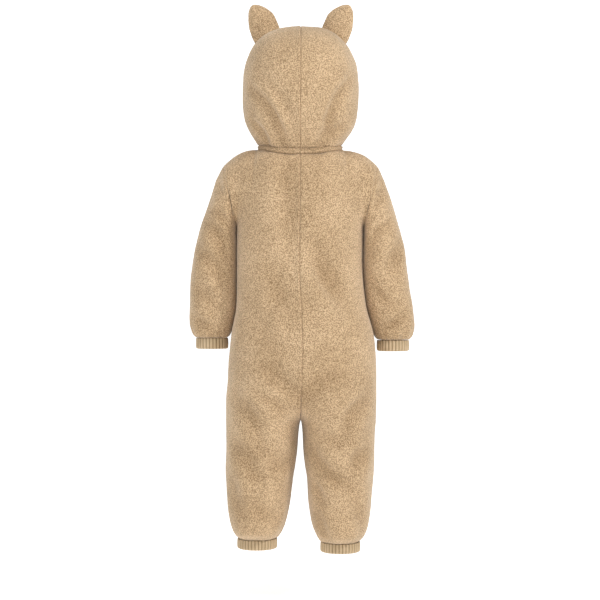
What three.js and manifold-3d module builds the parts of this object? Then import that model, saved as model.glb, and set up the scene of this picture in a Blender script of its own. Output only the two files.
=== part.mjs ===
// A small child's hooded plush onesie with two pointed ears, as it is worn.
// Millimetres, +Z up. The front faces -Y, and the wearer's left is +X.
// The origin is in the middle of the neck at shoulder level, where the wearer holds the garment up.
import * as THREE from 'three';
import { mergeVertices } from 'three/addons/utils/BufferGeometryUtils.js';
import Module from 'manifold-3d';

const { sin, cos, acos, abs, sign, min, max, PI } = Math;
const LEFT = 1;
const RIGHT = -1;
const BACK = 1;
const FRONT = -1;

// Cloth and seams
const PLUSH = 3;
const HALF_GAP = 0.15;
const SEAM_GAP = 2 * HALF_GAP;
const ROUND = 2.3;
const FLATTEN = 2 / ROUND;

// Body
const UNDERARM_Z = -130;
const SEAT_Z = -400;
const CROTCH_Z = -465;
const CALF_Z = -640;
const LEG_SEAM_Z = -670;
const SLEEVE_SEAM_Z = -322;
const SIDE_Y = -3;
const BACK_ARCH = 65 * PI / 180;
const FRONT_ARCH = 38 * PI / 180;
const SHOULDER_ARCH = PI / 2;
const ARCH_FLATTEN = 0.8;
const NECK_SHARE = 0.5;
const SHOULDER_FALL = 2.2;
const ACROSS_STEPS = 10;
const YOKE_PULL = 3;

// Half of the body as level sections: how far it reaches to the side and to the middle, and in depth.
// Where it would pass the middle, the centre seam cuts it.
const BODY_SECTIONS = [
  { z: UNDERARM_Z, outer: 110, inner: -110, back: 88, front: -86 },
  { z: -200, outer: 109.5, inner: -109.5, back: 84, front: -92 },
  { z: -262, outer: 112.5, inner: -112.5, back: 83, front: -96 },
  { z: -315, outer: 123.5, inner: -123.5, back: 88, front: -96 },
  { z: -365, outer: 128.5, inner: -121, back: 95, front: -92 },
  { z: SEAT_Z, outer: 129.5, inner: -92, back: 97, front: -89 },
  { z: -430, outer: 130, inner: -47, back: 95, front: -86 },
  { z: -450, outer: 130, inner: -15, back: 91.5, front: -83.5 },
  { z: CROTCH_Z, outer: 130, inner: 0.2, back: 88.5, front: -81.5 },
  { z: -480, outer: 129.5, inner: 3, back: 85.5, front: -79.5 },
  { z: -520, outer: 129, inner: 6, back: 78, front: -75 },
  { z: -562, outer: 127.5, inner: 12, back: 72, front: -68 },
  { z: -605, outer: 125, inner: 17, back: 69, front: -64 },
  { z: CALF_Z, outer: 120.5, inner: 23.5, back: 65, front: -60 },
  { z: -657, outer: 115, inner: 30, back: 57, front: -52 },
  { z: LEG_SEAM_Z, outer: 106, inner: 38.5, back: 38, front: -38 },
];

// How far the worn garment stands to one side, and how much further down its right limbs reach
const SWAY = [
  { z: 260, x: 0 },
  { z: -60, x: 1 },
  { z: -190, x: 2 },
  { z: -335, x: -3 },
  { z: -450, x: 0 },
  { z: -700, x: 4 },
];
const RIGHT_LEG_DROP = 6;
const RIGHT_SLEEVE_DROP = 4;

// Armhole: an ellipse from the shoulder tip down to the underarm
const ARMHOLE = { x: 122, z: -77, leanX: 12, leanZ: 53, back: 46, front: 43 };

// Sleeves, as rings given by their outer and inner points, depth and middle, from armhole to cuff
const SLEEVE_RINGS = [
  { ring: 1, outerX: 147, outerZ: -48, innerX: 112.8, innerZ: -143, depth: 47, middle: -4 },
  { ring: 2, outerX: 161, outerZ: -91, innerX: 113.6, innerZ: -168, depth: 46, middle: -6 },
  { ring: 3, outerX: 174, outerZ: -132, innerX: 114, innerZ: -196, depth: 45, middle: -8 },
  { ring: 4, outerX: 185, outerZ: -178, innerX: 114.6, innerZ: -228, depth: 44, middle: -11 },
  { ring: 5, outerX: 191.5, outerZ: -226, innerX: 117, innerZ: -259, depth: 43, middle: -14 },
  { ring: 6, outerX: 195, outerZ: -264, innerX: 120.5, innerZ: -284, depth: 42, middle: -16 },
  { ring: 7, outerX: 196.5, outerZ: -293, innerX: 125.5, innerZ: -302, depth: 39, middle: -17 },
  { ring: 8, outerX: 193, outerZ: -311, innerX: 129, innerZ: -314, depth: 34, middle: -18 },
  {
    ring: 9, outerX: 185.5, outerZ: SLEEVE_SEAM_Z, innerX: 131, innerZ: SLEEVE_SEAM_Z, depth: 27, middle: -18,
  },
];
const SLEEVE_END = 9;
const SLEEVE_STEPS = 14;
const SLEEVE_TURNS = 20;
const SLEEVE_ROUND = 0.92;
const SLEEVE_EASE = 0.7;

// Ribbed cuffs
const CUFF = { wall: 2, rib: 1.2, sleeveHeight: 19, legHeight: 17, sleeveRibs: 28, legRibs: 36 };

// Hood: level sections by half width and by their reach in depth, and the dome above them
const HOOD_Y = -7;
const DOME_Z = 106;
const DOME = { width: 101.5, height: 114, back: 104, front: 99 };
const DOME_ROUND = 2.5;
const HOOD_SECTIONS = [
  { z: -42, half: 59, back: 46, front: -67 },
  { z: -10, half: 63, back: 55, front: -75 },
  { z: 2.5, half: 67, back: 60, front: -79 },
  { z: 12, half: 71.5, back: 65, front: -83 },
  { z: 22, half: 78, back: 72, front: -88 },
  { z: 36, half: 88, back: 82, front: -95 },
  { z: 50, half: 95, back: 89, front: -100 },
  { z: 64, half: 98.5, back: 93, front: -103 },
  { z: 85, half: 101, back: 96.5, front: -105.5 },
  { z: DOME_Z, half: DOME.width, back: HOOD_Y + DOME.back, front: HOOD_Y - DOME.front },
];
const BROW = 52 * PI / 180;
const DOME_SHARE = 0.68;
const NAPE_TURN = 55 * PI / 180;
const FACE_BOW = 7;
const HOOD_STEPS = 12;
const NECK_PULL = 4;
const NAPE_PULL = 6;
const HOOD_CORE = { x: 20, z: 70 };

// Neck seam, from the nape round to the throat, and the band below it
const NECK = { sideZ: 12, napeDrop: 9.5, throatDrop: 45.5, band: 8 };

// Ears: a pointed leaf by its half width and its shift towards the outer side
const EAR = { x: 56, y: -16, z: 203, leanX: 0.541, height: 60, cup: 9, uncup: 0.3, layer: 3, thinEdge: 1.1 };
const EAR_OUTLINE = [
  { up: 0, half: 25, shift: 0.3 },
  { up: 14, half: 26, shift: -1.5 },
  { up: 28, half: 25, shift: -4 },
  { up: 40, half: 20.5, shift: -5 },
  { up: 51, half: 13, shift: -5 },
  { up: 57, half: 8, shift: -5 },
  { up: EAR.height, half: 3.5, shift: -5 },
];
const EAR_UP_STEPS = 7;
const EAR_ACROSS_STEPS = 8;

// Zip in the centre front
const ZIP = {
  end: -372, tapeEnd: -371, below: -384, halfOpening: 6.5, tapeFrom: 3.3, tape: 0.8, tapeAcross: 0.75,
  chainHalf: 3, chainTop: -58.5, chainOut: -2.5, chainIn: -4.9,
};
const SLIDER = {
  z: -52, long: 12, half: 5, web: 2.6, out: -1.5, slotOut: -2.9, slotIn: -4.6, in: -5.8, overlap: 0.2,
};
const BRIDGE = { half: 1.3, reach: 4.2, hole: 3, holeIn: -1.2, holeOut: 1.5, out: 2.6 };
const PULL = {
  half: 3.4, rail: 1.9, bar: 0.7, pivotOut: 0.15, windowEnd: 6.2, long: 28, thick: 1.4, corner: 2.2,
};

// The largest folds, as troughs between two places seen from behind or from the front. They fade where
// the cloth turns to the side, and towards both ends.
const FOLD_FADE = 2.5;
const FOLD_END_SHARE = 0.4;
const FOLDS = [
  { face: BACK, x0: 141, z0: -45, x1: 122, z1: -90, width: 11, depth: 4 },
  { face: BACK, x0: 155, z0: -101, x1: 129, z1: -122, width: 11, depth: 4 },
  { face: BACK, x0: 169, z0: -115, x1: 129, z1: -179, width: 13, depth: 5 },
  { face: BACK, x0: 174, z0: -174, x1: 131, z1: -226, width: 13, depth: 4 },
  { face: BACK, x0: -134, z0: -70, x1: -111, z1: -120, width: 11, depth: 4 },
  { face: BACK, x0: -151, z0: -127, x1: -115, z1: -165, width: 13, depth: 5 },
  { face: BACK, x0: -172, z0: -167, x1: -158, z1: -197, width: 13, depth: 3 },
  { face: BACK, x0: -26, z0: -176, x1: -71, z1: -247, width: 16, depth: 4 },
  { face: BACK, x0: 33, z0: -390, x1: 8, z1: -416, width: 11, depth: 4 },
  { face: BACK, x0: -35, z0: -398, x1: -8, z1: -416, width: 12, depth: 4 },
  { face: BACK, x0: 110, z0: -423, x1: 73, z1: -487, width: 14, depth: 5 },
  { face: BACK, x0: 122, z0: -503, x1: 82, z1: -553, width: 14, depth: 5 },
  { face: BACK, x0: -21, z0: -520, x1: -78, z1: -569, width: 14, depth: 5 },
  { face: BACK, x0: -113, z0: -428, x1: -77, z1: -473, width: 14, depth: 4 },
  { face: BACK, x0: 82, z0: 96, x1: 38, z1: 21, width: 11, depth: 5 },
  { face: BACK, x0: -82, z0: 115, x1: -47, z1: 35, width: 13, depth: 4 },
  { face: FRONT, x0: 158, z0: -105, x1: 128, z1: -150, width: 13, depth: 5 },
  { face: FRONT, x0: -160, z0: -140, x1: -124, z1: -184, width: 13, depth: 5 },
  { face: FRONT, x0: 40, z0: -392, x1: 10, z1: -425, width: 13, depth: 4 },
  { face: FRONT, x0: -42, z0: -385, x1: -10, z1: -422, width: 13, depth: 4 },
  { face: FRONT, x0: 112, z0: -500, x1: 62, z1: -545, width: 14, depth: 5 },
  { face: FRONT, x0: -108, z0: -486, x1: -58, z1: -522, width: 14, depth: 5 },
];

const clamp = (value, low, high) => min(max(value, low), high);
const mix = (a, b, f) => a + (b - a) * f;
const ease = (f) => f * f * (3 - 2 * f);
const power = (value, exponent) => sign(value) * abs(value) ** exponent;
const vec = (x, y, z) => new THREE.Vector3(x, y, z);

// The place between low and high where a test stops being true
const HALVINGS = 40;
function halved(test, low, high) {
  let [from, to] = [low, high];
  for (let k = 0; k < HALVINGS; k += 1) {
    const middle = (from + to) / 2;
    if (test(middle)) from = middle;
    else to = middle;
  }
  return from;
}

// A smooth reading of a table whose rows rise or fall steadily by one named column
function reader(rows, key) {
  const sorted = [...rows].sort((a, b) => a[key] - b[key]);
  const keys = sorted.map((row) => row[key]);
  const last = keys.length - 1;
  const rise = (name, i) => (sorted[i + 1][name] - sorted[i][name]) / (keys[i + 1] - keys[i]);
  const slope = (name, i) => {
    if (i === 0) return rise(name, 0);
    if (i === last) return rise(name, last - 1);
    const before = rise(name, i - 1);
    const after = rise(name, i);
    return before * after <= 0 ? 0 : 2 * before * after / (before + after);
  };
  return (at) => {
    const place = clamp(at, keys[0], keys[last]);
    let i = 0;
    while (i < last - 1 && place > keys[i + 1]) i += 1;
    const span = keys[i + 1] - keys[i];
    const f = (place - keys[i]) / span;
    const read = {};
    for (const name of Object.keys(sorted[0])) {
      const a = sorted[i][name];
      const b = sorted[i + 1][name];
      const into = slope(name, i) * span * f * (1 - f) ** 2;
      const out = slope(name, i + 1) * span * f * f * (1 - f);
      read[name] = mix(a, b, ease(f)) + into - out;
    }
    return read;
  };
}

const bodyAt = reader(BODY_SECTIONS, 'z');
const sleeveAt = reader(SLEEVE_RINGS, 'ring');
const hoodAt = reader(HOOD_SECTIONS, 'z');
const earAt = reader(EAR_OUTLINE, 'up');
const swayAt = reader(SWAY, 'z');

// How deep the folds are at a point of a surface
function foldDepth(point, normal) {
  let deep = 0;
  for (const fold of FOLDS) {
    const seen = clamp(normal.y * fold.face * FOLD_FADE, 0, 1);
    if (seen === 0) continue;
    const along = vec(fold.x1 - fold.x0, 0, fold.z1 - fold.z0);
    const from = vec(point.x - fold.x0, 0, point.z - fold.z0);
    const f = clamp(from.dot(along) / along.lengthSq(), 0, 1);
    const away = from.addScaledVector(along, -f).length() / fold.width;
    const swell = mix(FOLD_END_SHARE, 1, sin(PI * f));
    deep += fold.depth * seen * Math.exp(-away * away) * swell;
  }
  return deep;
}

// Where a point of the left half comes to lie on either side of the worn garment
function settle(point, side, drop) {
  const down = side === RIGHT ? drop(point.z) : 0;
  return vec(side * point.x + swayAt(point.z).x, point.y, point.z - down);
}
const noDrop = () => 0;
const legDrop = (z) => RIGHT_LEG_DROP * clamp((CROTCH_Z - z) / (CROTCH_Z - LEG_SEAM_Z), 0, 1);
const sleeveDrop = (z) => RIGHT_SLEEVE_DROP * clamp((z - UNDERARM_Z) / (SLEEVE_SEAM_Z - UNDERARM_Z), 0, 1);

// A closed wall between an outer grid of points and an inner one, open or closed across
function wallGeometry(outer, inner, closed) {
  const rows = outer.length;
  const columns = outer[0].length;
  const positions = [];
  for (const grid of [outer, inner]) {
    for (const row of grid) {
      for (const point of row) positions.push(point.x, point.y, point.z);
    }
  }
  const spans = closed ? columns : columns - 1;
  const out = (i, j) => i * columns + j % columns;
  const inn = (i, j) => rows * columns + out(i, j);
  const faces = [];
  const quad = (a, b, c, d) => faces.push(a, b, c, a, c, d);
  for (let i = 0; i < rows - 1; i += 1) {
    for (let j = 0; j < spans; j += 1) {
      quad(out(i, j), out(i + 1, j), out(i + 1, j + 1), out(i, j + 1));
      quad(inn(i, j), inn(i, j + 1), inn(i + 1, j + 1), inn(i + 1, j));
    }
    if (!closed) {
      quad(out(i, 0), inn(i, 0), inn(i + 1, 0), out(i + 1, 0));
      quad(out(i, spans), out(i + 1, spans), inn(i + 1, spans), inn(i, spans));
    }
  }
  for (let j = 0; j < spans; j += 1) {
    quad(out(0, j), out(0, j + 1), inn(0, j + 1), inn(0, j));
    quad(out(rows - 1, j), inn(rows - 1, j), inn(rows - 1, j + 1), out(rows - 1, j + 1));
  }
  return facingOut(positions, faces);
}

// The geometry with its faces turned so that it holds a positive volume
function facingOut(positions, faces) {
  const corner = (k) => vec(positions[3 * k], positions[3 * k + 1], positions[3 * k + 2]);
  let volume = 0;
  for (let k = 0; k < faces.length; k += 3) {
    volume += corner(faces[k]).dot(corner(faces[k + 1]).cross(corner(faces[k + 2])));
  }
  if (volume < 0) faces.reverse();
  const geometry = new THREE.BufferGeometry();
  geometry.setAttribute('position', new THREE.Float32BufferAttribute(positions, 3));
  geometry.setIndex(faces);
  geometry.computeVertexNormals();
  return geometry;
}

// The direction that a surface faces at (i, j), away from a point on its inner side
const PROBE_STEP = 0.02;
function facing(surface, i, j, limits, core) {
  const low = surface(max(i - PROBE_STEP, 0), j);
  const high = surface(min(i + PROBE_STEP, limits.i), j);
  const near = surface(i, limits.closed ? j - PROBE_STEP : max(j - PROBE_STEP, 0));
  const far = surface(i, limits.closed ? j + PROBE_STEP : min(j + PROBE_STEP, limits.j));
  const normal = high.sub(low).cross(far.sub(near)).normalize();
  return normal.dot(surface(i, j).sub(core)) < 0 ? normal.negate() : normal;
}

// A cloth wall on a surface: its seams drawn back by half a gap, folds pressed in, edges as asked
function clothWall({ surface, limits, core, side, drop, thick = PLUSH, edge, gaps, keepClear }) {
  const outer = [];
  const inner = [];
  for (let i = 0; i <= limits.i; i += 1) {
    outer.push([]);
    inner.push([]);
    const last = limits.closed ? limits.j - 1 : limits.j;
    for (let j = 0; j <= last; j += 1) {
      const point = surface(i, j);
      const natural = facing(surface, i, j, limits, core(i, j));
      const normal = (edge && edge(i, j, natural)) || natural;
      const place = settle(point, side, drop);
      const seen = vec(side * natural.x, natural.y, natural.z);
      const pressed = point.clone().addScaledVector(normal, -foldDepth(place, seen));
      if (i === 0) pressed.add(surface(1, j).sub(point).setLength(gaps.start));
      if (i === limits.i) pressed.add(surface(i - 1, j).sub(point).setLength(gaps.end));
      if (!limits.closed && j === 0) pressed.add(surface(i, 1).sub(point).setLength(gaps.near));
      if (!limits.closed && j === limits.j) pressed.add(surface(i, j - 1).sub(point).setLength(gaps.far));
      const under = pressed.clone().addScaledVector(normal, -thick);
      if (keepClear) keepClear(i, j, pressed, under);
      outer[i].push(settle(pressed, side, drop));
      inner[i].push(settle(under, side, drop));
    }
  }
  return wallGeometry(outer, inner, Boolean(limits.closed));
}

// Neck seam

const backTurn = (turn) => turn < PI / 2;

// A point of a level section of the hood's lower part, turned from the nape round to the throat
function hoodSection(z, turn) {
  const s = hoodAt(z);
  const depth = backTurn(turn) ? s.back - HOOD_Y : HOOD_Y - s.front;
  return vec(s.half * power(sin(turn), 2 / DOME_ROUND), HOOD_Y + depth * power(cos(turn), FLATTEN), z);
}

// The hood's lower edge, and the body's edge below the band
function hoodEdge(turn) {
  const drop = backTurn(turn) ? NECK.napeDrop : NECK.throatDrop;
  return hoodSection(NECK.sideZ - drop * cos(turn) ** 2, turn);
}
const neckEdge = (turn) => hoodEdge(turn).setZ(hoodEdge(turn).z - NECK.band - 2 * SEAM_GAP);

// Where the throat ends at the zip's opening
const THROAT_TURN = halved((turn) => hoodEdge(turn).x > ZIP.halfOpening, PI / 2, PI);

// The wall's direction along the neck seam, leaning up for the body and down for the hood
function neckFacing(turn, lift) {
  return vec(sin(turn), cos(turn), lift).normalize();
}
const BODY_NECK_LIFT = 0.8;
const HOOD_NECK_LIFT = -0.35;

// Body

// The middle edge of a panel: the centre seam, or the zip's opening in the front
function middleEdge(z, face) {
  if (face === BACK) return 0;
  return ZIP.halfOpening * ease(clamp((z - ZIP.below) / (ZIP.end - ZIP.below), 0, 1));
}

// A point below the underarm, from the middle (across 0) to the side seam (across 1)
function bodyPoint(z, across, face) {
  const s = bodyAt(z);
  const centre = (s.outer + s.inner) / 2;
  const half = (s.outer - s.inner) / 2;
  const depth = face === BACK ? s.back - SIDE_Y : SIDE_Y - s.front;
  const cut = clamp((middleEdge(z, face) - centre) / half, -1, 1);
  const angle = acos(power(cut, 1 / FLATTEN)) * (1 - across);
  return vec(
    centre + half * power(cos(angle), FLATTEN),
    SIDE_Y + face * depth * power(sin(angle), FLATTEN),
    z,
  );
}

// A point of the armhole, turned from the shoulder tip to the underarm
function armholePoint(turn, face) {
  return vec(
    ARMHOLE.x + ARMHOLE.leanX * cos(turn),
    SIDE_Y + face * (face === BACK ? ARMHOLE.back : ARMHOLE.front) * sin(turn),
    ARMHOLE.z + ARMHOLE.leanZ * cos(turn),
  );
}

// The upper edge of a panel: the neck, then the shoulder seam
function topEdge(across, face) {
  const neckTurn = face === BACK ? 0 : THROAT_TURN;
  if (across <= NECK_SHARE) return neckEdge(mix(neckTurn, PI / 2, across / NECK_SHARE));
  const f = (across - NECK_SHARE) / (1 - NECK_SHARE);
  const neck = neckEdge(PI / 2);
  const tip = armholePoint(0, face);
  return vec(mix(neck.x, tip.x, f), mix(neck.y, tip.y, f), mix(neck.z, tip.z, f ** SHOULDER_FALL));
}

// The upright arch of one column, from the underarm level up to the neck or shoulder seam
function archPoint(rise, across, face) {
  const foot = bodyPoint(UNDERARM_Z, across, face);
  const top = topEdge(across, face);
  const least = face === BACK ? BACK_ARCH : FRONT_ARCH;
  const end = mix(least, SHOULDER_ARCH, ease(clamp(across / NECK_SHARE, 0, 1)));
  const angle = rise * end;
  const lean = (1 - max(cos(angle), 0) ** ARCH_FLATTEN) / (1 - max(cos(end), 0) ** ARCH_FLATTEN);
  const lift = sin(angle) ** ARCH_FLATTEN / sin(end) ** ARCH_FLATTEN;
  return vec(mix(foot.x, top.x, lean), mix(foot.y, top.y, lean), mix(foot.z, top.z, lift));
}

// A point above the underarm, drawn out to the armhole
function yokePoint(rise, across, face) {
  const point = archPoint(rise, across, face);
  const pull = armholePoint(PI * (1 - rise), face).sub(archPoint(rise, 1, face));
  return point.addScaledVector(pull, across ** YOKE_PULL);
}

// The rows of a body panel from the shoulder down, in bands of equal steps
const BODY_BANDS = [
  { steps: 7, from: 1, to: 0, yoke: true },
  { steps: 10, from: UNDERARM_Z, to: SEAT_Z },
  { steps: 7, from: SEAT_Z, to: CROTCH_Z, settling: true },
  { steps: 7, from: CROTCH_Z, to: CALF_Z },
  { steps: 4, from: CALF_Z, to: LEG_SEAM_Z },
];
const BODY_STEPS = BODY_BANDS.reduce((sum, band) => sum + band.steps, 0);
const CROTCH_ROW = BODY_BANDS.slice(0, 3).reduce((sum, band) => sum + band.steps, 0);
const YOKE_STEPS = BODY_BANDS[0].steps;

function panelPoint(row, across, face) {
  let left = row;
  for (const band of BODY_BANDS) {
    if (left <= band.steps || band === BODY_BANDS.at(-1)) {
      const f = clamp(left / band.steps, 0, 1);
      if (band.yoke) return yokePoint(mix(band.from, band.to, f), across, face);
      const reach = band.settling ? sin(f * PI / 2) : f;
      return bodyPoint(mix(band.from, band.to, reach), across, face);
    }
    left -= band.steps;
  }
  return null;
}

// The level of the middle of the body beside a row, to tell inside from outside
function bodyCore(row, across, face) {
  const point = panelPoint(row, across, face);
  if (point.z > UNDERARM_Z) return vec(point.x / 2, 0, UNDERARM_Z);
  const s = bodyAt(point.z);
  return vec(max((s.outer + s.inner) / 2, 0), SIDE_Y, point.z);
}

// The wall's direction where a body panel meets its neighbours
function bodyEdge(row, column, natural, face) {
  const across = column / ACROSS_STEPS;
  const neckTurn = face === BACK ? 0 : THROAT_TURN;
  if (row === 0 && across <= NECK_SHARE) {
    return neckFacing(mix(neckTurn, PI / 2, across / NECK_SHARE), BODY_NECK_LIFT);
  }
  if (column === ACROSS_STEPS && row <= YOKE_STEPS) {
    const hole = armholePoint(PI * row / YOKE_STEPS, face);
    return hole.sub(vec(ARMHOLE.x, SIDE_Y, ARMHOLE.z)).normalize();
  }
  if (column === 0 && row === CROTCH_ROW) return vec(0, 0, -1);
  if (column === 0 && row < CROTCH_ROW) return natural.clone().setX(0).normalize();
  return natural;
}

function bodyPanel(side, face) {
  return clothWall({
    surface: (i, j) => panelPoint(i, j / ACROSS_STEPS, face),
    limits: { i: BODY_STEPS, j: ACROSS_STEPS },
    core: (i, j) => bodyCore(i, j / ACROSS_STEPS, face),
    side,
    drop: legDrop,
    edge: (i, j, natural) => bodyEdge(i, j, natural, face),
    gaps: { start: HALF_GAP, end: HALF_GAP, near: HALF_GAP, far: HALF_GAP },
    keepClear: (i, j, ...points) => {
      for (const point of points) point.setX(max(point.x, HALF_GAP));
    },
  });
}

// Sleeves

function sleevePoint(ring, turn) {
  const angle = turn * 2 * PI;
  const face = sin(angle) >= 0 ? BACK : FRONT;
  const hole = armholePoint(acos(clamp(cos(angle), -1, 1)), face);
  if (ring <= 0) return hole;
  const blend = ease(clamp(ring, 0, 1));
  const s = sleeveAt(max(ring, 1));
  const round = mix(1, SLEEVE_ROUND, clamp(ring - 1, 0, 1));
  const swing = (1 + power(cos(angle), round)) / 2;
  const tube = vec(
    mix(s.innerX, s.outerX, swing),
    s.middle + s.depth * power(sin(angle), round),
    mix(s.innerZ, s.outerZ, swing),
  );
  return ring >= 1 ? tube : hole.lerp(tube, mix(blend, ring, SLEEVE_EASE));
}

function sleeveCore(ring) {
  if (ring < 1) return vec(ARMHOLE.x, SIDE_Y, ARMHOLE.z);
  const s = sleeveAt(ring);
  return vec((s.innerX + s.outerX) / 2, s.middle, (s.innerZ + s.outerZ) / 2);
}

function sleeve(side) {
  const ringOf = (i) => SLEEVE_END * i / SLEEVE_STEPS;
  return clothWall({
    surface: (i, j) => sleevePoint(ringOf(i), j / SLEEVE_TURNS),
    limits: { i: SLEEVE_STEPS, j: SLEEVE_TURNS, closed: true },
    core: (i) => sleeveCore(ringOf(i)),
    side,
    drop: sleeveDrop,
    edge: (i, j, natural) => {
      if (i > 0) return natural;
      return sleevePoint(0, j / SLEEVE_TURNS).sub(sleeveCore(0)).normalize();
    },
    gaps: { start: HALF_GAP, end: HALF_GAP },
  });
}

// Cuffs: a ribbed outside over a plain inside

function cuff({ side, drop, ribs, top, bottom, ring }) {
  const columns = ribs * 2;
  const outer = [];
  const inner = [];
  for (const z of [top, bottom]) {
    const outerRow = [];
    const innerRow = [];
    for (let j = 0; j < columns; j += 1) {
      const angle = 2 * PI * j / columns;
      const rib = j % 2 === 0 ? CUFF.rib : 0;
      const at = (reach) => vec(
        ring.x + (ring.halfX + reach) * cos(angle),
        ring.y + (ring.halfY + reach) * sin(angle),
        z,
      );
      outerRow.push(settle(at(rib), side, drop));
      innerRow.push(settle(at(-CUFF.wall), side, drop));
    }
    outer.push(outerRow);
    inner.push(innerRow);
  }
  return wallGeometry(outer, inner, true);
}

function sleeveCuff(side) {
  const end = SLEEVE_RINGS.at(-1);
  const ring = {
    x: (end.innerX + end.outerX) / 2,
    y: end.middle,
    halfX: (end.outerX - end.innerX) / 2 - CUFF.rib,
    halfY: end.depth - CUFF.rib,
  };
  const top = end.outerZ - HALF_GAP;
  return cuff({
    side, drop: sleeveDrop, ribs: CUFF.sleeveRibs, top, bottom: top - CUFF.sleeveHeight, ring,
  });
}

function legCuff(side) {
  const end = bodyAt(LEG_SEAM_Z);
  const ring = {
    x: (end.inner + end.outer) / 2,
    y: (end.back + end.front) / 2,
    halfX: (end.outer - end.inner) / 2 - CUFF.rib,
    halfY: (end.back - end.front) / 2 - CUFF.rib,
  };
  const top = LEG_SEAM_Z - HALF_GAP;
  return cuff({ side, drop: legDrop, ribs: CUFF.legRibs, top, bottom: top - CUFF.legHeight, ring });
}

// Neck band, all round from one side of the zip to the other

// Equal steps from one turn to another
function steps(from, to, count) {
  return Array.from({ length: count + 1 }, (unused, k) => mix(from, to, k / count));
}

// The turns at which the panels below and the hood above have their corners
const NECK_COLUMNS = NECK_SHARE * ACROSS_STEPS;
const BODY_TURNS = [
  ...steps(0, PI / 2, NECK_COLUMNS),
  ...steps(PI / 2, THROAT_TURN, NECK_COLUMNS).slice(1),
];
const HOOD_TURNS = [
  ...steps(0, NAPE_TURN, HOOD_STEPS),
  ...steps(NAPE_TURN, THROAT_TURN, HOOD_STEPS).slice(1),
];

// A place on the straight runs between the corners of a seam, and the wall's inner side below it
function seamRun(turns, turn, lift) {
  const k = max(turns.findIndex((value) => value >= turn - 1e-9), 1);
  const f = (turn - turns[k - 1]) / (turns[k] - turns[k - 1]);
  const ends = [turns[k - 1], turns[k]].map((value) => {
    const outer = hoodEdge(value);
    const inner = outer.clone().addScaledVector(neckFacing(value, lift), -PLUSH);
    return [outer, inner];
  });
  return [ends[0][0].lerp(ends[1][0], f), ends[0][1].lerp(ends[1][1], f)];
}

const LEAST_TURN = 0.01;
function neckBand() {
  const half = [...BODY_TURNS, ...HOOD_TURNS].sort((a, b) => a - b);
  const turns = half.filter((value, k) => k === 0 || value - half[k - 1] > LEAST_TURN);
  const round = [...turns.slice(1).reverse().map((value) => -value), ...turns];
  const grids = [[], []];
  for (const [list, lift, drop] of [
    [BODY_TURNS, BODY_NECK_LIFT, SEAM_GAP + NECK.band],
    [HOOD_TURNS, HOOD_NECK_LIFT, SEAM_GAP],
  ]) {
    const rows = round.map((turn) => seamRun(list, abs(turn), lift).map((point) => {
      point.x = max(point.x, abs(turn) === THROAT_TURN ? ZIP.halfOpening + HALF_GAP : 0);
      point.z -= drop;
      return settle(point, turn < 0 ? RIGHT : LEFT, noDrop);
    }));
    grids[0].push(rows.map((pair) => pair[0]));
    grids[1].push(rows.map((pair) => pair[1]));
  }
  return wallGeometry(grids[0], grids[1], false);
}

// Hood

// Half the hood's width where it is seen from the side at (y, z)
function hoodHalfWidth(y, z) {
  const s = hoodAt(min(z, DOME_Z));
  const depth = y > HOOD_Y ? s.back - HOOD_Y : HOOD_Y - s.front;
  const up = max(z - DOME_Z, 0) / DOME.height;
  const left = 1 - abs((y - HOOD_Y) / depth) ** ROUND - up ** DOME_ROUND;
  return s.half * max(left, 0) ** (1 / DOME_ROUND);
}

// The centre seam, from the brow over the crown and down to the nape
function hoodSeam(f) {
  if (f <= DOME_SHARE) {
    const angle = mix(BROW, PI, f / DOME_SHARE);
    const depth = angle < PI / 2 ? DOME.front : DOME.back;
    return vec(
      0,
      HOOD_Y - depth * power(cos(angle), FLATTEN),
      DOME_Z + DOME.height * abs(sin(angle)) ** (2 / DOME_ROUND),
    );
  }
  const z = mix(DOME_Z, hoodEdge(0).z, (f - DOME_SHARE) / (1 - DOME_SHARE));
  return vec(0, hoodAt(z).back, z);
}

// A point of the hood before it is drawn to the neck seam: from the face (f 0) to the nape (f 1), and
// from the seam down to the neck
function hoodPlain(f, down, bow = 0) {
  const start = hoodSeam(f);
  const end = hoodEdge(mix(THROAT_TURN, NAPE_TURN, f));
  const share = 1 - cos(down * PI / 2);
  const y = mix(start.y, end.y, share) - bow * (1 - f) ** 2 * 4 * share * (1 - share);
  const z = mix(start.z, end.z, share);
  return vec(hoodHalfWidth(y, z), y, z);
}

function hoodPoint(f, down) {
  const end = hoodEdge(mix(THROAT_TURN, NAPE_TURN, f));
  const neck = end.sub(hoodPlain(f, 1)).multiplyScalar(down ** NECK_PULL);
  const nape = hoodEdge(NAPE_TURN * down).sub(hoodPlain(1, down)).multiplyScalar(f ** NAPE_PULL);
  return hoodPlain(f, down, FACE_BOW).add(neck).addScaledVector(nape, 1 - down ** NECK_PULL);
}

function hoodHalf(side) {
  return clothWall({
    surface: (i, j) => hoodPoint(i / HOOD_STEPS, j / HOOD_STEPS),
    limits: { i: HOOD_STEPS, j: HOOD_STEPS },
    core: () => vec(HOOD_CORE.x, HOOD_Y, HOOD_CORE.z),
    side,
    drop: noDrop,
    edge: (i, j, natural) => {
      const down = j / HOOD_STEPS;
      const f = i / HOOD_STEPS;
      if (j === HOOD_STEPS) return neckFacing(mix(THROAT_TURN, NAPE_TURN, f), HOOD_NECK_LIFT);
      if (i === HOOD_STEPS) return neckFacing(NAPE_TURN * down, HOOD_NECK_LIFT);
      if (j === 0) return natural.clone().setX(0).normalize();
      return natural;
    },
    gaps: { start: HALF_GAP, end: HALF_GAP, near: HALF_GAP, far: HALF_GAP },
    keepClear: (i, j, ...points) => {
      for (const point of points) point.setX(max(point.x, HALF_GAP));
    },
  });
}

// Ears: two layers, cupped forward, seated on the hood

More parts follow.
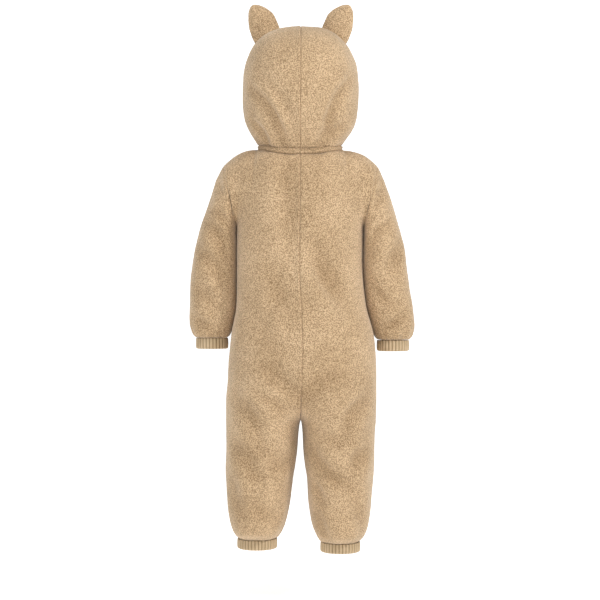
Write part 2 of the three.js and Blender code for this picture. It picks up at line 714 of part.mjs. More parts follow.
// The hood's outer surface above a place on its dome
function domeHeight(x, y) {
  const depth = y > HOOD_Y ? DOME.back : DOME.front;
  const left = 1 - abs(x / DOME.width) ** DOME_ROUND - abs((y - HOOD_Y) / depth) ** ROUND;
  return DOME_Z + DOME.height * max(left, 0) ** (1 / DOME_ROUND);
}

function earPoint(up, across, out) {
  const s = earAt(up * EAR.height);
  const along = s.shift + s.half * across;
  const leanZ = (1 - EAR.leanX ** 2) ** 0.5;
  const x = EAR.x + leanZ * along + EAR.leanX * s.up;
  const y = EAR.y + out - EAR.cup * across * across * (1 - EAR.uncup * up);
  const z = EAR.z - EAR.leanX * along + leanZ * s.up;
  const seat = domeHeight(x, y) + SEAM_GAP;
  return vec(x, y, up === 0 ? seat : max(z, seat + 1));
}

function earLayer(side, face) {
  const grids = [[], []];
  for (let i = 0; i <= EAR_UP_STEPS; i += 1) {
    const up = i / EAR_UP_STEPS;
    const rows = [[], []];
    for (let j = 0; j <= EAR_ACROSS_STEPS; j += 1) {
      const across = mix(-1, 1, j / EAR_ACROSS_STEPS);
      const rim = j === 0 || j === EAR_ACROSS_STEPS || i === EAR_UP_STEPS;
      const thick = rim ? EAR.thinEdge : EAR.layer;
      rows[0].push(settle(earPoint(up, across, face * (HALF_GAP + thick)), side, noDrop));
      rows[1].push(settle(earPoint(up, across, face * HALF_GAP), side, noDrop));
    }
    grids[0].push(rows[0]);
    grids[1].push(rows[1]);
  }
  return wallGeometry(grids[0], grids[1], false);
}

// Zip

// The panel row at a height in the centre front
const frontRow = (z) => halved((row) => panelPoint(row, 0, FRONT).z > z, 0, BODY_STEPS);

// A frame on the centre front: the outer cloth's place, the way up along it, and the way out
const FRAME_STEP = 2;
function frontFrame(z) {
  const place = (height) => panelPoint(frontRow(height), 0, FRONT).setX(0);
  const origin = place(z);
  const up = place(z + FRAME_STEP).sub(place(z - FRAME_STEP)).normalize();
  const out = vec(0, -up.z, up.y);
  return { origin, up, out };
}

const TAPE_ROWS = Math.floor(frontRow(ZIP.tapeEnd));
const CHAIN_STEPS = 16;

// A front panel's wall at one of its corners: the outer and the inner point
function panelWall(row, column) {
  const outer = panelPoint(row, column / ACROSS_STEPS, FRONT);
  const surface = (i, j) => panelPoint(i, j / ACROSS_STEPS, FRONT);
  const limits = { i: BODY_STEPS, j: ACROSS_STEPS };
  const natural = facing(surface, row, column, limits, bodyCore(row, column / ACROSS_STEPS, FRONT));
  const normal = bodyEdge(row, column, natural, FRONT);
  return [outer, outer.clone().addScaledVector(normal, -PLUSH)];
}

// The wall beside the zip at one row: at the opening's edge, and a tape's width away from it
function wallByZip(row) {
  const edge = panelWall(row, 0);
  const next = panelWall(row, 1);
  return [edge, [0, 1].map((k) => edge[k].clone().lerp(next[k], ZIP.tapeAcross))];
}

function bandByZip(turns, lift, drop) {
  const reach = mix(THROAT_TURN, BODY_TURNS.at(-2), ZIP.tapeAcross);
  return [THROAT_TURN, reach].map((turn) => seamRun(turns, turn, lift).map((point) => {
    return point.setZ(point.z - drop);
  }));
}

function zipTape(side) {
  const walls = [
    bandByZip(HOOD_TURNS, HOOD_NECK_LIFT, SEAM_GAP),
    bandByZip(BODY_TURNS, BODY_NECK_LIFT, SEAM_GAP + NECK.band),
  ];
  for (let row = 1; row <= TAPE_ROWS; row += 1) walls.push(wallByZip(row));
  const layer = (depth) => walls.map((wall) => {
    const [edge, far] = wall.map(([outer, inner]) => {
      return inner.clone().add(inner.clone().sub(outer).setLength(depth));
    });
    return [edge.clone().setX(ZIP.tapeFrom), edge, far].map((point) => settle(point, side, noDrop));
  });
  return wallGeometry(layer(SEAM_GAP), layer(SEAM_GAP + ZIP.tape), false);
}

function zipChain() {
  const grids = [[], []];
  for (let i = 0; i <= CHAIN_STEPS; i += 1) {
    const frame = frontFrame(mix(ZIP.chainTop, ZIP.tapeEnd, i / CHAIN_STEPS));
    for (const [k, out] of [ZIP.chainOut, ZIP.chainIn].entries()) {
      grids[k].push([-1, 1].map((across) => {
        const point = frame.origin.clone().setX(across * ZIP.chainHalf);
        return settle(point.addScaledVector(frame.out, out), LEFT, noDrop);
      }));
    }
  }
  return wallGeometry(grids[0], grids[1], false);
}

const wasm = await Module();
wasm.setup();

function asSolid(geometry) {
  const plain = geometry.clone();
  plain.deleteAttribute('normal');
  plain.deleteAttribute('uv');
  const merged = mergeVertices(plain, 1e-4);
  return new wasm.Manifold(new wasm.Mesh({
    numProp: 3,
    vertProperties: new Float32Array(merged.attributes.position.array),
    triVerts: new Uint32Array(merged.index.array),
  }));
}

function fromSolid(solid) {
  const mesh = solid.getMesh();
  const geometry = new THREE.BufferGeometry();
  geometry.setAttribute('position', new THREE.Float32BufferAttribute(mesh.vertProperties, 3));
  geometry.setIndex([...mesh.triVerts]);
  geometry.computeVertexNormals();
  return geometry;
}

// A box in the zip's own frame: across, out and along
function zipBox(across, out, along) {
  const box = new THREE.BoxGeometry(2 * across, out[1] - out[0], along[1] - along[0]);
  box.translate(0, -(out[0] + out[1]) / 2, (along[0] + along[1]) / 2);
  return asSolid(box);
}

const SLIDER_PLACE = frontFrame(SLIDER.z);

// From the zip's own frame to its place on the front
function onZip(geometry) {
  const { origin, up, out } = SLIDER_PLACE;
  const turn = new THREE.Matrix4().makeBasis(vec(1, 0, 0), out.clone().negate(), up);
  turn.setPosition(origin.x + swayAt(origin.z).x, origin.y, origin.z);
  geometry.applyMatrix4(turn);
  return geometry;
}

function zipSlider() {
  const long = SLIDER.long / 2;
  const front = zipBox(SLIDER.half, [SLIDER.slotOut, SLIDER.out], [-long, long]);
  const webDepth = [SLIDER.slotIn - SLIDER.overlap, SLIDER.slotOut + SLIDER.overlap];
  const web = zipBox(SLIDER.web, webDepth, [-long, long]);
  const back = zipBox(SLIDER.half, [SLIDER.in, SLIDER.slotIn], [-long, long]);
  const arch = zipBox(BRIDGE.half, [SLIDER.out - SLIDER.overlap, BRIDGE.out], [-BRIDGE.reach, BRIDGE.reach]);
  const hole = zipBox(BRIDGE.half * 2, [BRIDGE.holeIn, BRIDGE.holeOut], [-BRIDGE.hole, BRIDGE.hole]);
  return onZip(fromSolid(front.add(web).add(back).add(arch.subtract(hole))));
}

function zipPull() {
  const outline = new THREE.Shape();
  const { half, corner, bar, long } = PULL;
  outline.moveTo(-half, bar);
  outline.lineTo(-half, corner - long);
  outline.quadraticCurveTo(-half, -long, corner - half, -long);
  outline.lineTo(half - corner, -long);
  outline.quadraticCurveTo(half, -long, half, corner - long);
  outline.lineTo(half, bar);
  outline.closePath();
  const opening = new THREE.Path();
  opening.moveTo(-PULL.rail, -bar);
  opening.lineTo(PULL.rail, -bar);
  opening.lineTo(PULL.rail, -PULL.windowEnd);
  opening.lineTo(-PULL.rail, -PULL.windowEnd);
  opening.closePath();
  outline.holes.push(opening);
  const tab = new THREE.ExtrudeGeometry(outline, {
    depth: PULL.thick, bevelEnabled: false, curveSegments: 4,
  });
  tab.rotateX(PI / 2);
  tab.translate(0, PULL.thick / 2 - PULL.pivotOut, 0);
  return onZip(tab);
}

// Materials and the assembled garment

const PLUSH_COLOUR = 0xc9ad82;
const RIB_COLOUR = 0xb09a70;
const TAPE_COLOUR = 0xb39a73;
const METAL_COLOUR = 0xb8b2a6;

const garment = new THREE.Group();

function add(name, geometry, color, roughness = 1, metalness = 0) {
  const mesh = new THREE.Mesh(geometry, new THREE.MeshStandardMaterial({ color, roughness, metalness }));
  mesh.name = name;
  garment.add(mesh);
}

for (const [side, word] of [[LEFT, 'left'], [RIGHT, 'right']]) {
  add(`back_${word}`, bodyPanel(side, BACK), PLUSH_COLOUR);
  add(`front_${word}`, bodyPanel(side, FRONT), PLUSH_COLOUR);
  add(`sleeve_${word}`, sleeve(side), PLUSH_COLOUR);
  add(`sleeve_cuff_${word}`, sleeveCuff(side), RIB_COLOUR);
  add(`leg_cuff_${word}`, legCuff(side), RIB_COLOUR);
  add(`hood_${word}`, hoodHalf(side), PLUSH_COLOUR);
  add(`ear_${word}_back`, earLayer(side, BACK), PLUSH_COLOUR);
  add(`ear_${word}_front`, earLayer(side, FRONT), PLUSH_COLOUR);
  add(`zip_tape_${word}`, zipTape(side), TAPE_COLOUR, 0.9);
}
add('neck_band', neckBand(), PLUSH_COLOUR);
add('zip_chain', zipChain(), TAPE_COLOUR, 0.6);
add('zip_slider', zipSlider(), METAL_COLOUR, 0.35, 1);
add('zip_pull', zipPull(), METAL_COLOUR, 0.35, 1);

export default garment;
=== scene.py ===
# A small child's hooded plush onesie with two pointed ears, seen from behind as it is worn.
# Tables and surfaces are in millimetres, as in the part's own source, and meshes in metres.
from itertools import product
from math import pi, radians

import bmesh
import bpy
import numpy as np
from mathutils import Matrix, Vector


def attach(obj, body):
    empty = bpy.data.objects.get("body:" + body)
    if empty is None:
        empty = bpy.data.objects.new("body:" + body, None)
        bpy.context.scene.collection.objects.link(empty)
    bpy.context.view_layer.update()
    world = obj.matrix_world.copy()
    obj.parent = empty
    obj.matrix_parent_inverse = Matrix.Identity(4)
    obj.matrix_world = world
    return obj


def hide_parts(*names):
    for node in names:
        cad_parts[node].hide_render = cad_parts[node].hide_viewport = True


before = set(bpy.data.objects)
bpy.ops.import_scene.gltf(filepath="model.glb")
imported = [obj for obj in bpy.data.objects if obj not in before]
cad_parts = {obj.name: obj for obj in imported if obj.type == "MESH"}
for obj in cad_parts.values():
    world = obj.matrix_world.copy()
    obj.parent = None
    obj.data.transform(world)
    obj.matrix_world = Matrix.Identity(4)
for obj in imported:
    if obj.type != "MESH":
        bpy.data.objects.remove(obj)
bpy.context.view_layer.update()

MM = 0.001
LEFT, RIGHT = 1, -1
BACK, FRONT = 1, -1
GARMENT, PULL_BODY = "garment", "zip_pull"
SCENE = bpy.context.scene

# Cloth and seams
PLUSH = 3.0
HALF_GAP = 0.15
SEAM_GAP = 2 * HALF_GAP
ALLOWANCE = 1.2
ROUND = 2.3
FLATTEN = 2 / ROUND
CELL = 2.15

# Body
UNDERARM_Z, SEAT_Z, CROTCH_Z, CALF_Z, LEG_SEAM_Z = -130.0, -400.0, -465.0, -640.0, -670.0
YOKE_ROWS, SEAT_ROWS, CROTCH_ROWS, CALF_ROWS, ANKLE_ROWS = 7, 10, 7, 7, 4
BODY_ROWS = YOKE_ROWS + SEAT_ROWS + CROTCH_ROWS + CALF_ROWS + ANKLE_ROWS
SIDE_Y = -3.0
BACK_ARCH, FRONT_ARCH, SHOULDER_ARCH = radians(65), radians(38), pi / 2
ARCH_FLATTEN = 0.8
NECK_SHARE = 0.5
SHOULDER_FALL = 2.2

BODY_SECTIONS = {
    "z": [UNDERARM_Z, -200, -262, -315, -365, SEAT_Z, -430, -450, CROTCH_Z, -480, -520, -562, -605, CALF_Z,
          -657, LEG_SEAM_Z],
    "outer": [110, 109.5, 112.5, 123.5, 128.5, 129.5, 130, 130, 130, 129.5, 129, 127.5, 125, 120.5, 115, 106],
    "inner": [-110, -109.5, -112.5, -123.5, -121, -92, -47, -15, 0.2, 3, 6, 12, 17, 23.5, 30, 38.5],
    "back": [88, 84, 83, 88, 95, 97, 95, 91.5, 88.5, 85.5, 78, 72, 69, 65, 57, 38],
    "front": [-86, -92, -96, -96, -92, -89, -86, -83.5, -81.5, -79.5, -75, -68, -64, -60, -52, -38],
}
SWAY = {"z": [260, -60, -190, -335, -450, -700], "x": [0, 1, 2, -3, 0, 4]}
RIGHT_LEG_DROP = 6.0
RIGHT_SLEEVE_DROP = 4.0

# Armhole and sleeves
ARMHOLE = {"x": 122, "z": -77, "lean_x": 12, "lean_z": 53, BACK: 46, FRONT: 43}
SLEEVE_RINGS = {
    "ring": [1, 2, 3, 4, 5, 6, 7, 8, 9],
    "outer_x": [147, 161, 174, 185, 191.5, 195, 196.5, 193, 185.5],
    "outer_z": [-48, -91, -132, -178, -226, -264, -293, -311, -322],
    "inner_x": [110.2, 109.2, 109.2, 110.4, 112.0, 116.0, 120.8, 125.2, 131],
    "inner_z": [-143, -168, -196, -228, -259, -284, -302, -314, -322],
    "depth": [47, 46, 45, 44, 43, 42, 39, 34, 27],
    "middle": [-4, -6, -8, -11, -14, -16, -17, -18, -18],
}
SLEEVE_END = 9
SLEEVE_SEAM_Z = -322.0
SLEEVE_COLUMNS = 105
SLEEVE_PUCKERS = 13

# Ribbed cuffs
CUFF = {
    "wall": 2.0, "rib": 1.2, "knit": 1.9, "swell": 0.5, "fold_from": 0.88,
    "sleeve_height": 19, "leg_height": 17,
    "sleeve_ribs": 28, "leg_ribs": 36,
    "levels": 15, "points_a_rib": 8,
}

# Hood
HOOD_Y = -7.0
DOME_Z = 106.0
DOME_HALF, DOME_HEIGHT, DOME_BACK, DOME_FRONT = 101.5, 114.0, 104.0, 99.0
DOME_ROUND = 2.5
HOOD_SECTIONS = {
    "z": [-42, -10, 2.5, 12, 22, 36, 50, 64, 85, DOME_Z],
    "half": [59, 63, 67, 71.5, 78, 88, 95, 98.5, 101, DOME_HALF],
    "back": [46, 55, 60, 65, 72, 82, 89, 93, 96.5, HOOD_Y + DOME_BACK],
    "front": [-67, -75, -79, -83, -88, -95, -100, -103, -105.5, HOOD_Y - DOME_FRONT],
}
BROW = radians(52)
DOME_SHARE = 0.68
NAPE_TURN = radians(55)
FACE_BOW = 7.0
NECK_SIDE_Z, NAPE_DROP, THROAT_DROP, BAND = 12.0, 9.5, 45.5, 8.0

# Ears
EAR = {"x": 56, "y": -16, "z": 203, "lean_x": 0.541, "height": 63, "cup": 9, "layer": 3}
EAR_OUTLINE = {
    "up": [0, 14, 28, 41, 53, 59.5, 63],
    "half": [25, 26, 25.5, 21.5, 14.8, 9.5, 4.5],
    "shift": [0.3, -1.5, -4, -5.5, -6, -6, -6],
}
EAR_ROWS, EAR_COLUMNS = 30, 65
EAR_SKINS = ({"thick": 1.0, "wide": 1}, {"thick": 0.15, "wide": 0.9})
EAR_BULGE, EAR_TIP_THINNER, EAR_CUP_FADE, EAR_PILE = 0.6, 0.55, 0.3, 0.7

# Zip
ZIP_END_Z, ZIP_BELOW_Z, ZIP_HALF_OPENING = -372.0, -384.0, 6.5
TAPE = {"from": 3.3, "to": 17, "drawn_to": 0.2, "thick": 0.8, "under": 0.5, "curl": 0.0035, "flat_to": 6}
TAPE_ROWS, TAPE_COLUMNS, TAPE_PAST_END = 124, 8, 4
SLIDER_Z = -52.0
SLIDER_HALF = 6
TEETH_TOP_Z, TEETH_ABOVE_END, TEETH_PITCH = -58.8, 4, 1.45
TOOTH_DEPTHS = (-2.5, -4.9)
TOOTH_PARTS = (
    # from, to, half of its height
    (-2.9, 0.7, 0.62),
    (0.7, 1.3, 0.85),
)
BOX_FACES = ((0, 1, 3, 2), (4, 6, 7, 5), (0, 4, 5, 1), (2, 3, 7, 6), (0, 2, 6, 4), (1, 5, 7, 3))
PULL = {"half": 3.4, "rail": 1.9, "bar": 0.7, "window": 6.2, "long": 28.0, "half_thick": 0.7, "set_in": 0.15}
PULL_STEPS = 32
PULL_WAIST, PULL_WAIST_AT, PULL_WAIST_SPREAD, PULL_END, PULL_END_LEAST = 0.16, 13, 5, 3, 0.35


def power(value, exponent):
    return np.sign(value) * np.abs(value) ** exponent


def mix(a, b, f):
    return a + (b - a) * f


def ease(f):
    return f * f * (3 - 2 * f)


def reader(table, key):
    """A smooth reading of a table whose columns rise or fall steadily by the column named key."""
    order = np.argsort(table[key])
    keys = np.asarray(table[key], float)[order]
    columns = {name: np.asarray(values, float)[order] for name, values in table.items()}
    slopes = {}
    for name, values in columns.items():
        rise = np.diff(values) / np.diff(keys)
        product = rise[:-1] * rise[1:]
        total = np.where(np.abs(rise[:-1] + rise[1:]) < 1e-12, 1, rise[:-1] + rise[1:])
        inside = np.where(product <= 0, 0, 2 * product / total)
        slopes[name] = np.concatenate([rise[:1], inside, rise[-1:]])

    def read(at):
        place = np.clip(at, keys[0], keys[-1])
        i = np.clip(np.searchsorted(keys, place) - 1, 0, len(keys) - 2)
        span = keys[i + 1] - keys[i]
        f = (place - keys[i]) / span
        return {
            name: mix(v[i], v[i + 1], ease(f))
            + slopes[name][i] * span * f * (1 - f) ** 2
            - slopes[name][i + 1] * span * f * f * (1 - f)
            for name, v in columns.items()
        }

    return read


body_at = reader(BODY_SECTIONS, "z")
sleeve_at = reader(SLEEVE_RINGS, "ring")
hood_at = reader(HOOD_SECTIONS, "z")
ear_at = reader(EAR_OUTLINE, "up")
sway_at = reader(SWAY, "z")


def points(x, y, z):
    return np.stack(np.broadcast_arrays(x, y, z), axis=-1).astype(float)


def unit(v):
    return v / np.maximum(np.linalg.norm(v, axis=-1, keepdims=True), 1e-9)


# Surfaces, as functions of arrays

def hood_section(z, turn):
    s = hood_at(z)
    depth = np.where(turn < pi / 2, s["back"] - HOOD_Y, HOOD_Y - s["front"])
    x = s["half"] * power(np.sin(turn), 2 / DOME_ROUND)
    return points(x, HOOD_Y + depth * power(np.cos(turn), FLATTEN), z)


def hood_edge(turn):
    turn = np.asarray(turn, float)
    drop = np.where(turn < pi / 2, NAPE_DROP, THROAT_DROP)
    return hood_section(NECK_SIDE_Z - drop * np.cos(turn) ** 2, turn)


def neck_edge(turn):
    return hood_edge(turn) - [0, 0, BAND + 2 * SEAM_GAP]


def halved(test, low, high):
    """The place between low and high where test stops being true."""
    for _ in range(40):
        middle = (low + high) / 2
        if test(middle):
            low = middle
        else:
            high = middle
    return low


THROAT_TURN = halved(lambda turn: hood_edge(turn)[0] > ZIP_HALF_OPENING, pi / 2, pi)


def middle_edge(z, face):
    if face == BACK:
        return np.zeros_like(z)
    return ZIP_HALF_OPENING * ease(np.clip((z - ZIP_BELOW_Z) / (ZIP_END_Z - ZIP_BELOW_Z), 0, 1))


def body_point(z, across, face):
    z, across = np.broadcast_arrays(np.asarray(z, float), np.asarray(across, float))
    s = body_at(z)
    centre = (s["outer"] + s["inner"]) / 2
    half = (s["outer"] - s["inner"]) / 2
    depth = s["back"] - SIDE_Y if face == BACK else SIDE_Y - s["front"]
    cut = np.clip((middle_edge(z, face) - centre) / half, -1, 1)
    angle = np.arccos(power(cut, 1 / FLATTEN)) * (1 - across)
    y = SIDE_Y + face * depth * power(np.sin(angle), FLATTEN)
    return points(centre + half * power(np.cos(angle), FLATTEN), y, z)


def armhole_point(turn, face):
    return points(
        ARMHOLE["x"] + ARMHOLE["lean_x"] * np.cos(turn),
        SIDE_Y + face * ARMHOLE[face] * np.sin(turn),
        ARMHOLE["z"] + ARMHOLE["lean_z"] * np.cos(turn),
    )


def top_edge(across, face):
    across = np.asarray(across, float)
    neck = neck_edge(mix(0 if face == BACK else THROAT_TURN, pi / 2, np.clip(across / NECK_SHARE, 0, 1)))
    f = np.clip((across - NECK_SHARE) / (1 - NECK_SHARE), 0, 1)
    side, tip = neck_edge(pi / 2), armhole_point(0.0, face)
    fall = mix(side[2], tip[2], f ** SHOULDER_FALL)
    shoulder = points(mix(side[0], tip[0], f), mix(side[1], tip[1], f), fall)
    return np.where((across <= NECK_SHARE)[..., None], neck, shoulder)


def arch_point(rise, across, face):
    foot = body_point(UNDERARM_Z, across, face)
    top = top_edge(across, face)
    middle_arch = BACK_ARCH if face == BACK else FRONT_ARCH
    end = mix(middle_arch, SHOULDER_ARCH, ease(np.clip(across / NECK_SHARE, 0, 1)))
    angle = rise * end
    level = lambda a: np.maximum(np.cos(a), 0) ** ARCH_FLATTEN
    lean = (1 - level(angle)) / (1 - level(end))
    lift = np.sin(angle) ** ARCH_FLATTEN / np.sin(end) ** ARCH_FLATTEN
    return mix(foot, top, np.stack([lean, lean, lift], axis=-1))


def yoke_point(rise, across, face):
    rise, across = np.broadcast_arrays(np.asarray(rise, float), np.asarray(across, float))
    pull = armhole_point(pi * (1 - rise), face) - arch_point(rise, np.ones_like(across), face)
    return arch_point(rise, across, face) + pull * (across ** 3)[..., None]


def panel_level(row):
    """From a row, counted as the solids do, to the yoke's rise and the level below it."""
    rise = np.clip(1 - row / YOKE_ROWS, 0, 1)
    row = row - YOKE_ROWS
    seat = mix(UNDERARM_Z, SEAT_Z, np.clip(row / SEAT_ROWS, 0, 1))
    row = row - SEAT_ROWS
    crotch = (CROTCH_Z - SEAT_Z) * np.sin(np.clip(row / CROTCH_ROWS, 0, 1) * pi / 2)
    row = row - CROTCH_ROWS
    calf = mix(0, CALF_Z - CROTCH_Z, np.clip(row / CALF_ROWS, 0, 1))
    row = row - CALF_ROWS
    ankle = mix(0, LEG_SEAM_Z - CALF_Z, np.clip(row / ANKLE_ROWS, 0, 1))
    return rise, seat + crotch + calf + ankle


def panel_point(row, across, face):
    row, across = np.broadcast_arrays(np.asarray(row, float), np.asarray(across, float))
    rise, z = panel_level(row)
    return np.where((row < YOKE_ROWS)[..., None], yoke_point(rise, across, face), body_point(z, across, face))


def sleeve_point(ring, turn):
    ring, turn = np.broadcast_arrays(np.asarray(ring, float), np.asarray(turn, float))
    angle = turn * 2 * pi
    hole_turn = np.arccos(np.clip(np.cos(angle), -1, 1))
    behind = (np.sin(angle) >= 0)[..., None]
    hole = np.where(behind, armhole_point(hole_turn, BACK), armhole_point(hole_turn, FRONT))
    s = sleeve_at(np.maximum(ring, 1))
    round_off = mix(1, 0.92, np.clip(ring - 1, 0, 1))
    swing = (1 + power(np.cos(angle), round_off)) / 2
    tube = points(
        mix(s["inner_x"], s["outer_x"], swing),
        s["middle"] + s["depth"] * power(np.sin(angle), round_off),
        mix(s["inner_z"], s["outer_z"], swing),
    )
    start = np.clip(ring, 0, 1)
    return mix(hole, tube, mix(ease(start), start, 0.7)[..., None])


def hood_half_width(y, z):
    s = hood_at(np.minimum(z, DOME_Z))
    depth = np.where(y > HOOD_Y, s["back"] - HOOD_Y, HOOD_Y - s["front"])
    up = np.maximum(z - DOME_Z, 0) / DOME_HEIGHT
    left = 1 - np.abs((y - HOOD_Y) / depth) ** ROUND - up ** DOME_ROUND
    return s["half"] * np.maximum(left, 0) ** (1 / DOME_ROUND)


def hood_seam(f):
    angle = mix(BROW, pi, np.clip(f / DOME_SHARE, 0, 1))
    depth = np.where(angle < pi / 2, DOME_FRONT, DOME_BACK)
    dome = points(
        0, HOOD_Y - depth * power(np.cos(angle), FLATTEN),
        DOME_Z + DOME_HEIGHT * np.abs(np.sin(angle)) ** (2 / DOME_ROUND),
    )
    z = mix(DOME_Z, hood_edge(0.0)[2], np.clip((f - DOME_SHARE) / (1 - DOME_SHARE), 0, 1))
    return np.where((f <= DOME_SHARE)[..., None], dome, points(0, hood_at(z)["back"], z))


def hood_plain(f, down, bow=0.0):
    start, end = hood_seam(f), hood_edge(mix(THROAT_TURN, NAPE_TURN, f))
    share = 1 - np.cos(down * pi / 2)
    y = mix(start[..., 1], end[..., 1], share) - bow * (1 - f) ** 2 * 4 * share * (1 - share)
    z = mix(start[..., 2], end[..., 2], share)
    return points(hood_half_width(y, z), y, z)


def hood_point(f, down):
    f, down = np.broadcast_arrays(np.asarray(f, float), np.asarray(down, float))
    one = np.ones_like(f)
    neck = hood_edge(mix(THROAT_TURN, NAPE_TURN, f)) - hood_plain(f, one)
    nape = hood_edge(NAPE_TURN * down) - hood_plain(one, down)
    fade = (down ** 4)[..., None]
    return hood_plain(f, down, FACE_BOW) + neck * fade + nape * (f ** 6)[..., None] * (1 - fade)


def dome_height(x, y):
    depth = np.where(y > HOOD_Y, DOME_BACK, DOME_FRONT)
    left = 1 - np.abs(x / DOME_HALF) ** DOME_ROUND - np.abs((y - HOOD_Y) / depth) ** ROUND
    return DOME_Z + DOME_HEIGHT * np.maximum(left, 0) ** (1 / DOME_ROUND)


# Folds: soft troughs (and ridges, where deep is below zero), bowed between two places

FOLD_GAIN, FOLD_WIDTH, FOLD_LIMIT = 3.2, 1.2, 6.5
FOLD_RIM, FOLD_END_SPREAD, FOLD_SWELL = 0.22, 1.4, 0.45
FOLDS = [
    # face, from x, z, to x, z, bow, width, deep
    (BACK, 146, -42, 134, -76, 3, 8, 2.0),
    (BACK, 155, -101, 127, -124, -3, 7, 2.1),
    (BACK, 170, -113, 129, -181, -7, 9, 2.4),
    (BACK, 175, -172, 130, -228, -6, 9, 2.1),
    (BACK, 184, -287, 160, -300, 2, 7, 1.7),
    (BACK, 188, -236, 150, -262, -4, 10, 1.4),
    (BACK, -140, -62, -124, -98, -4, 8, 2.0),
    (BACK, -152, -125, -113, -167, 5, 8, 2.4),
    (BACK, -173, -165, -157, -199, 2, 10, 2.6),
    (BACK, -124, -238, -150, -262, 3, 8, 1.9),
    (BACK, -146, -302, -170, -290, 2, 7, 2.4),
    (BACK, 20, -30, 18, -168, 2, 14, 1.8),
    (BACK, -26, -174, -72, -249, 6, 13, 3.0),
    (BACK, -3, -193, -58, -289, 5, 10, -1.8),
    (BACK, 38, -235, 30, -270, 0, 15, 2.0),
    (BACK, 70, -300, 34, -345, 6, 16, 1.6),
    (BACK, 42, -382, 3, -420, 4, 12, 3.0),
    (BACK, -48, -392, -3, -424, 5, 13, 3.0),
    (BACK, 60, -372, 30, -398, 4, 13, 1.8),
    (BACK, 111, -421, 73, -488, -8, 10, 2.8),
    (BACK, 64, -422, 32, -441, -3, 9, 2.8),
    (BACK, 93, -497, 42, -516, 8, 13, 2.4),
    (BACK, 124, -501, 80, -554, -8, 10, 2.9),
    (BACK, 58, -549, 22, -533, -3, 11, 2.6),
    (BACK, 119, -573, 103, -616, 3, 10, 2.6),
    (BACK, 84, -600, 50, -626, 5, 12, 2.0),
    (BACK, -20, -518, -79, -570, 9, 10, 3.2),
    (BACK, -22, -568, -34, -597, 0, 8, 2.6),
    (BACK, -114, -426, -76, -474, 6, 10, 3.6),
    (BACK, -112, -514, -91, -540, 3, 10, 3.0),
    (BACK, -43, -493, -80, -498, 4, 11, 2.2),
    (BACK, -28, -627, -40, -664, 2, 9, 2.8),
    (BACK, -94, -600, -108, -640, 0, 11, 2.2),
    (BACK, 84, 102, 37, 19, -9, 6, 2.9),
    (BACK, 84, 48, 57, 9, -3, 5, 2.9),
    (BACK, 65, 118, 14, 26, -10, 10, 1.1),
    (BACK, -83, 117, -46, 33, 9, 7, 2.2),
    (BACK, -70, 120, -38, 40, 9, 9, -0.8),
    (BACK, 50, 60, 26, 8, -4, 5, 1.8),
    (BACK, -62, 72, -30, 10, 5, 6, 1.1),
    (BACK, -62, 36, -40, 12, 3, 7, 2.8),
    (FRONT, 158, -103, 128, -152, -5, 9, 3.0),
    (FRONT, 172, -170, 132, -214, -5, 10, 2.6),
    (FRONT, -160, -138, -122, -186, 5, 9, 3.0),
    (FRONT, -176, -208, -138, -246, 5, 10, 2.6),
    (FRONT, 70, -60, 60, -128, 5, 14, 2.0),
    (FRONT, -72, -66, -64, -140, -5, 14, 2.0),
    (FRONT, 78, -262, 30, -300, 8, 15, 2.2),
    (FRONT, -84, -242, -34, -286, -8, 15, 2.2),
    (FRONT, 42, -390, 10, -426, 4, 10, 3.6),
    (FRONT, -44, -383, -10, -423, -4, 10, 3.6),
    (FRONT, 112, -420, 66, -462, -6, 11, 2.4),
    (FRONT, 114, -498, 60, -547, -7, 11, 2.8),
    (FRONT, -110, -484, -56, -524, 7, 11, 2.8),
    (FRONT, -104, -560, -60, -596, 5, 11, 2.2),
    (FRONT, 96, -590, 52, -618, -4, 12, 2.6),
]


def fold_depth(place, normal):
    """How far the cloth is pressed in at places seen from behind or from the front."""
    deep = np.zeros(place.shape[:-1])
    for face, x0, z0, x1, z1, bow, narrow, depth in FOLDS:
        width = FOLD_WIDTH * narrow
        facing = ease(np.clip(normal[..., 1] * face * 1.5 - 0.1, 0, 1))
        along = np.array([x1 - x0, z1 - z0], float)
        length = np.hypot(*along)
        along /= length
        dx, dz = place[..., 0] - x0, place[..., 2] - z0
        f = (dx * along[0] + dz * along[1]) / length
        off = -dx * along[1] + dz * along[0] - bow * 4 * np.clip(f, 0, 1) * (1 - np.clip(f, 0, 1))
        past = np.maximum(np.abs(f - 0.5) - 0.5, 0) * length
        lobe = np.exp(-(off / width) ** 2 - (past / (width * FOLD_END_SPREAD)) ** 2)
        rim = FOLD_RIM * np.exp(-((np.abs(off) - 2 * width) / width) ** 2 - (past / width) ** 2)
        swell = 1 - FOLD_SWELL + FOLD_SWELL * np.sin(pi * np.clip(f, 0, 1))
        deep += depth * facing * swell * (lobe - rim)
    return FOLD_LIMIT * np.tanh(FOLD_GAIN * deep / FOLD_LIMIT)


MIXERS = (73856093, 19349663, 83492791, 6542989)
STIRS = (1274126177, 974634777)
KEY_BITS = 0x7FFFFFFF
NOISE_GAIN = 1.3


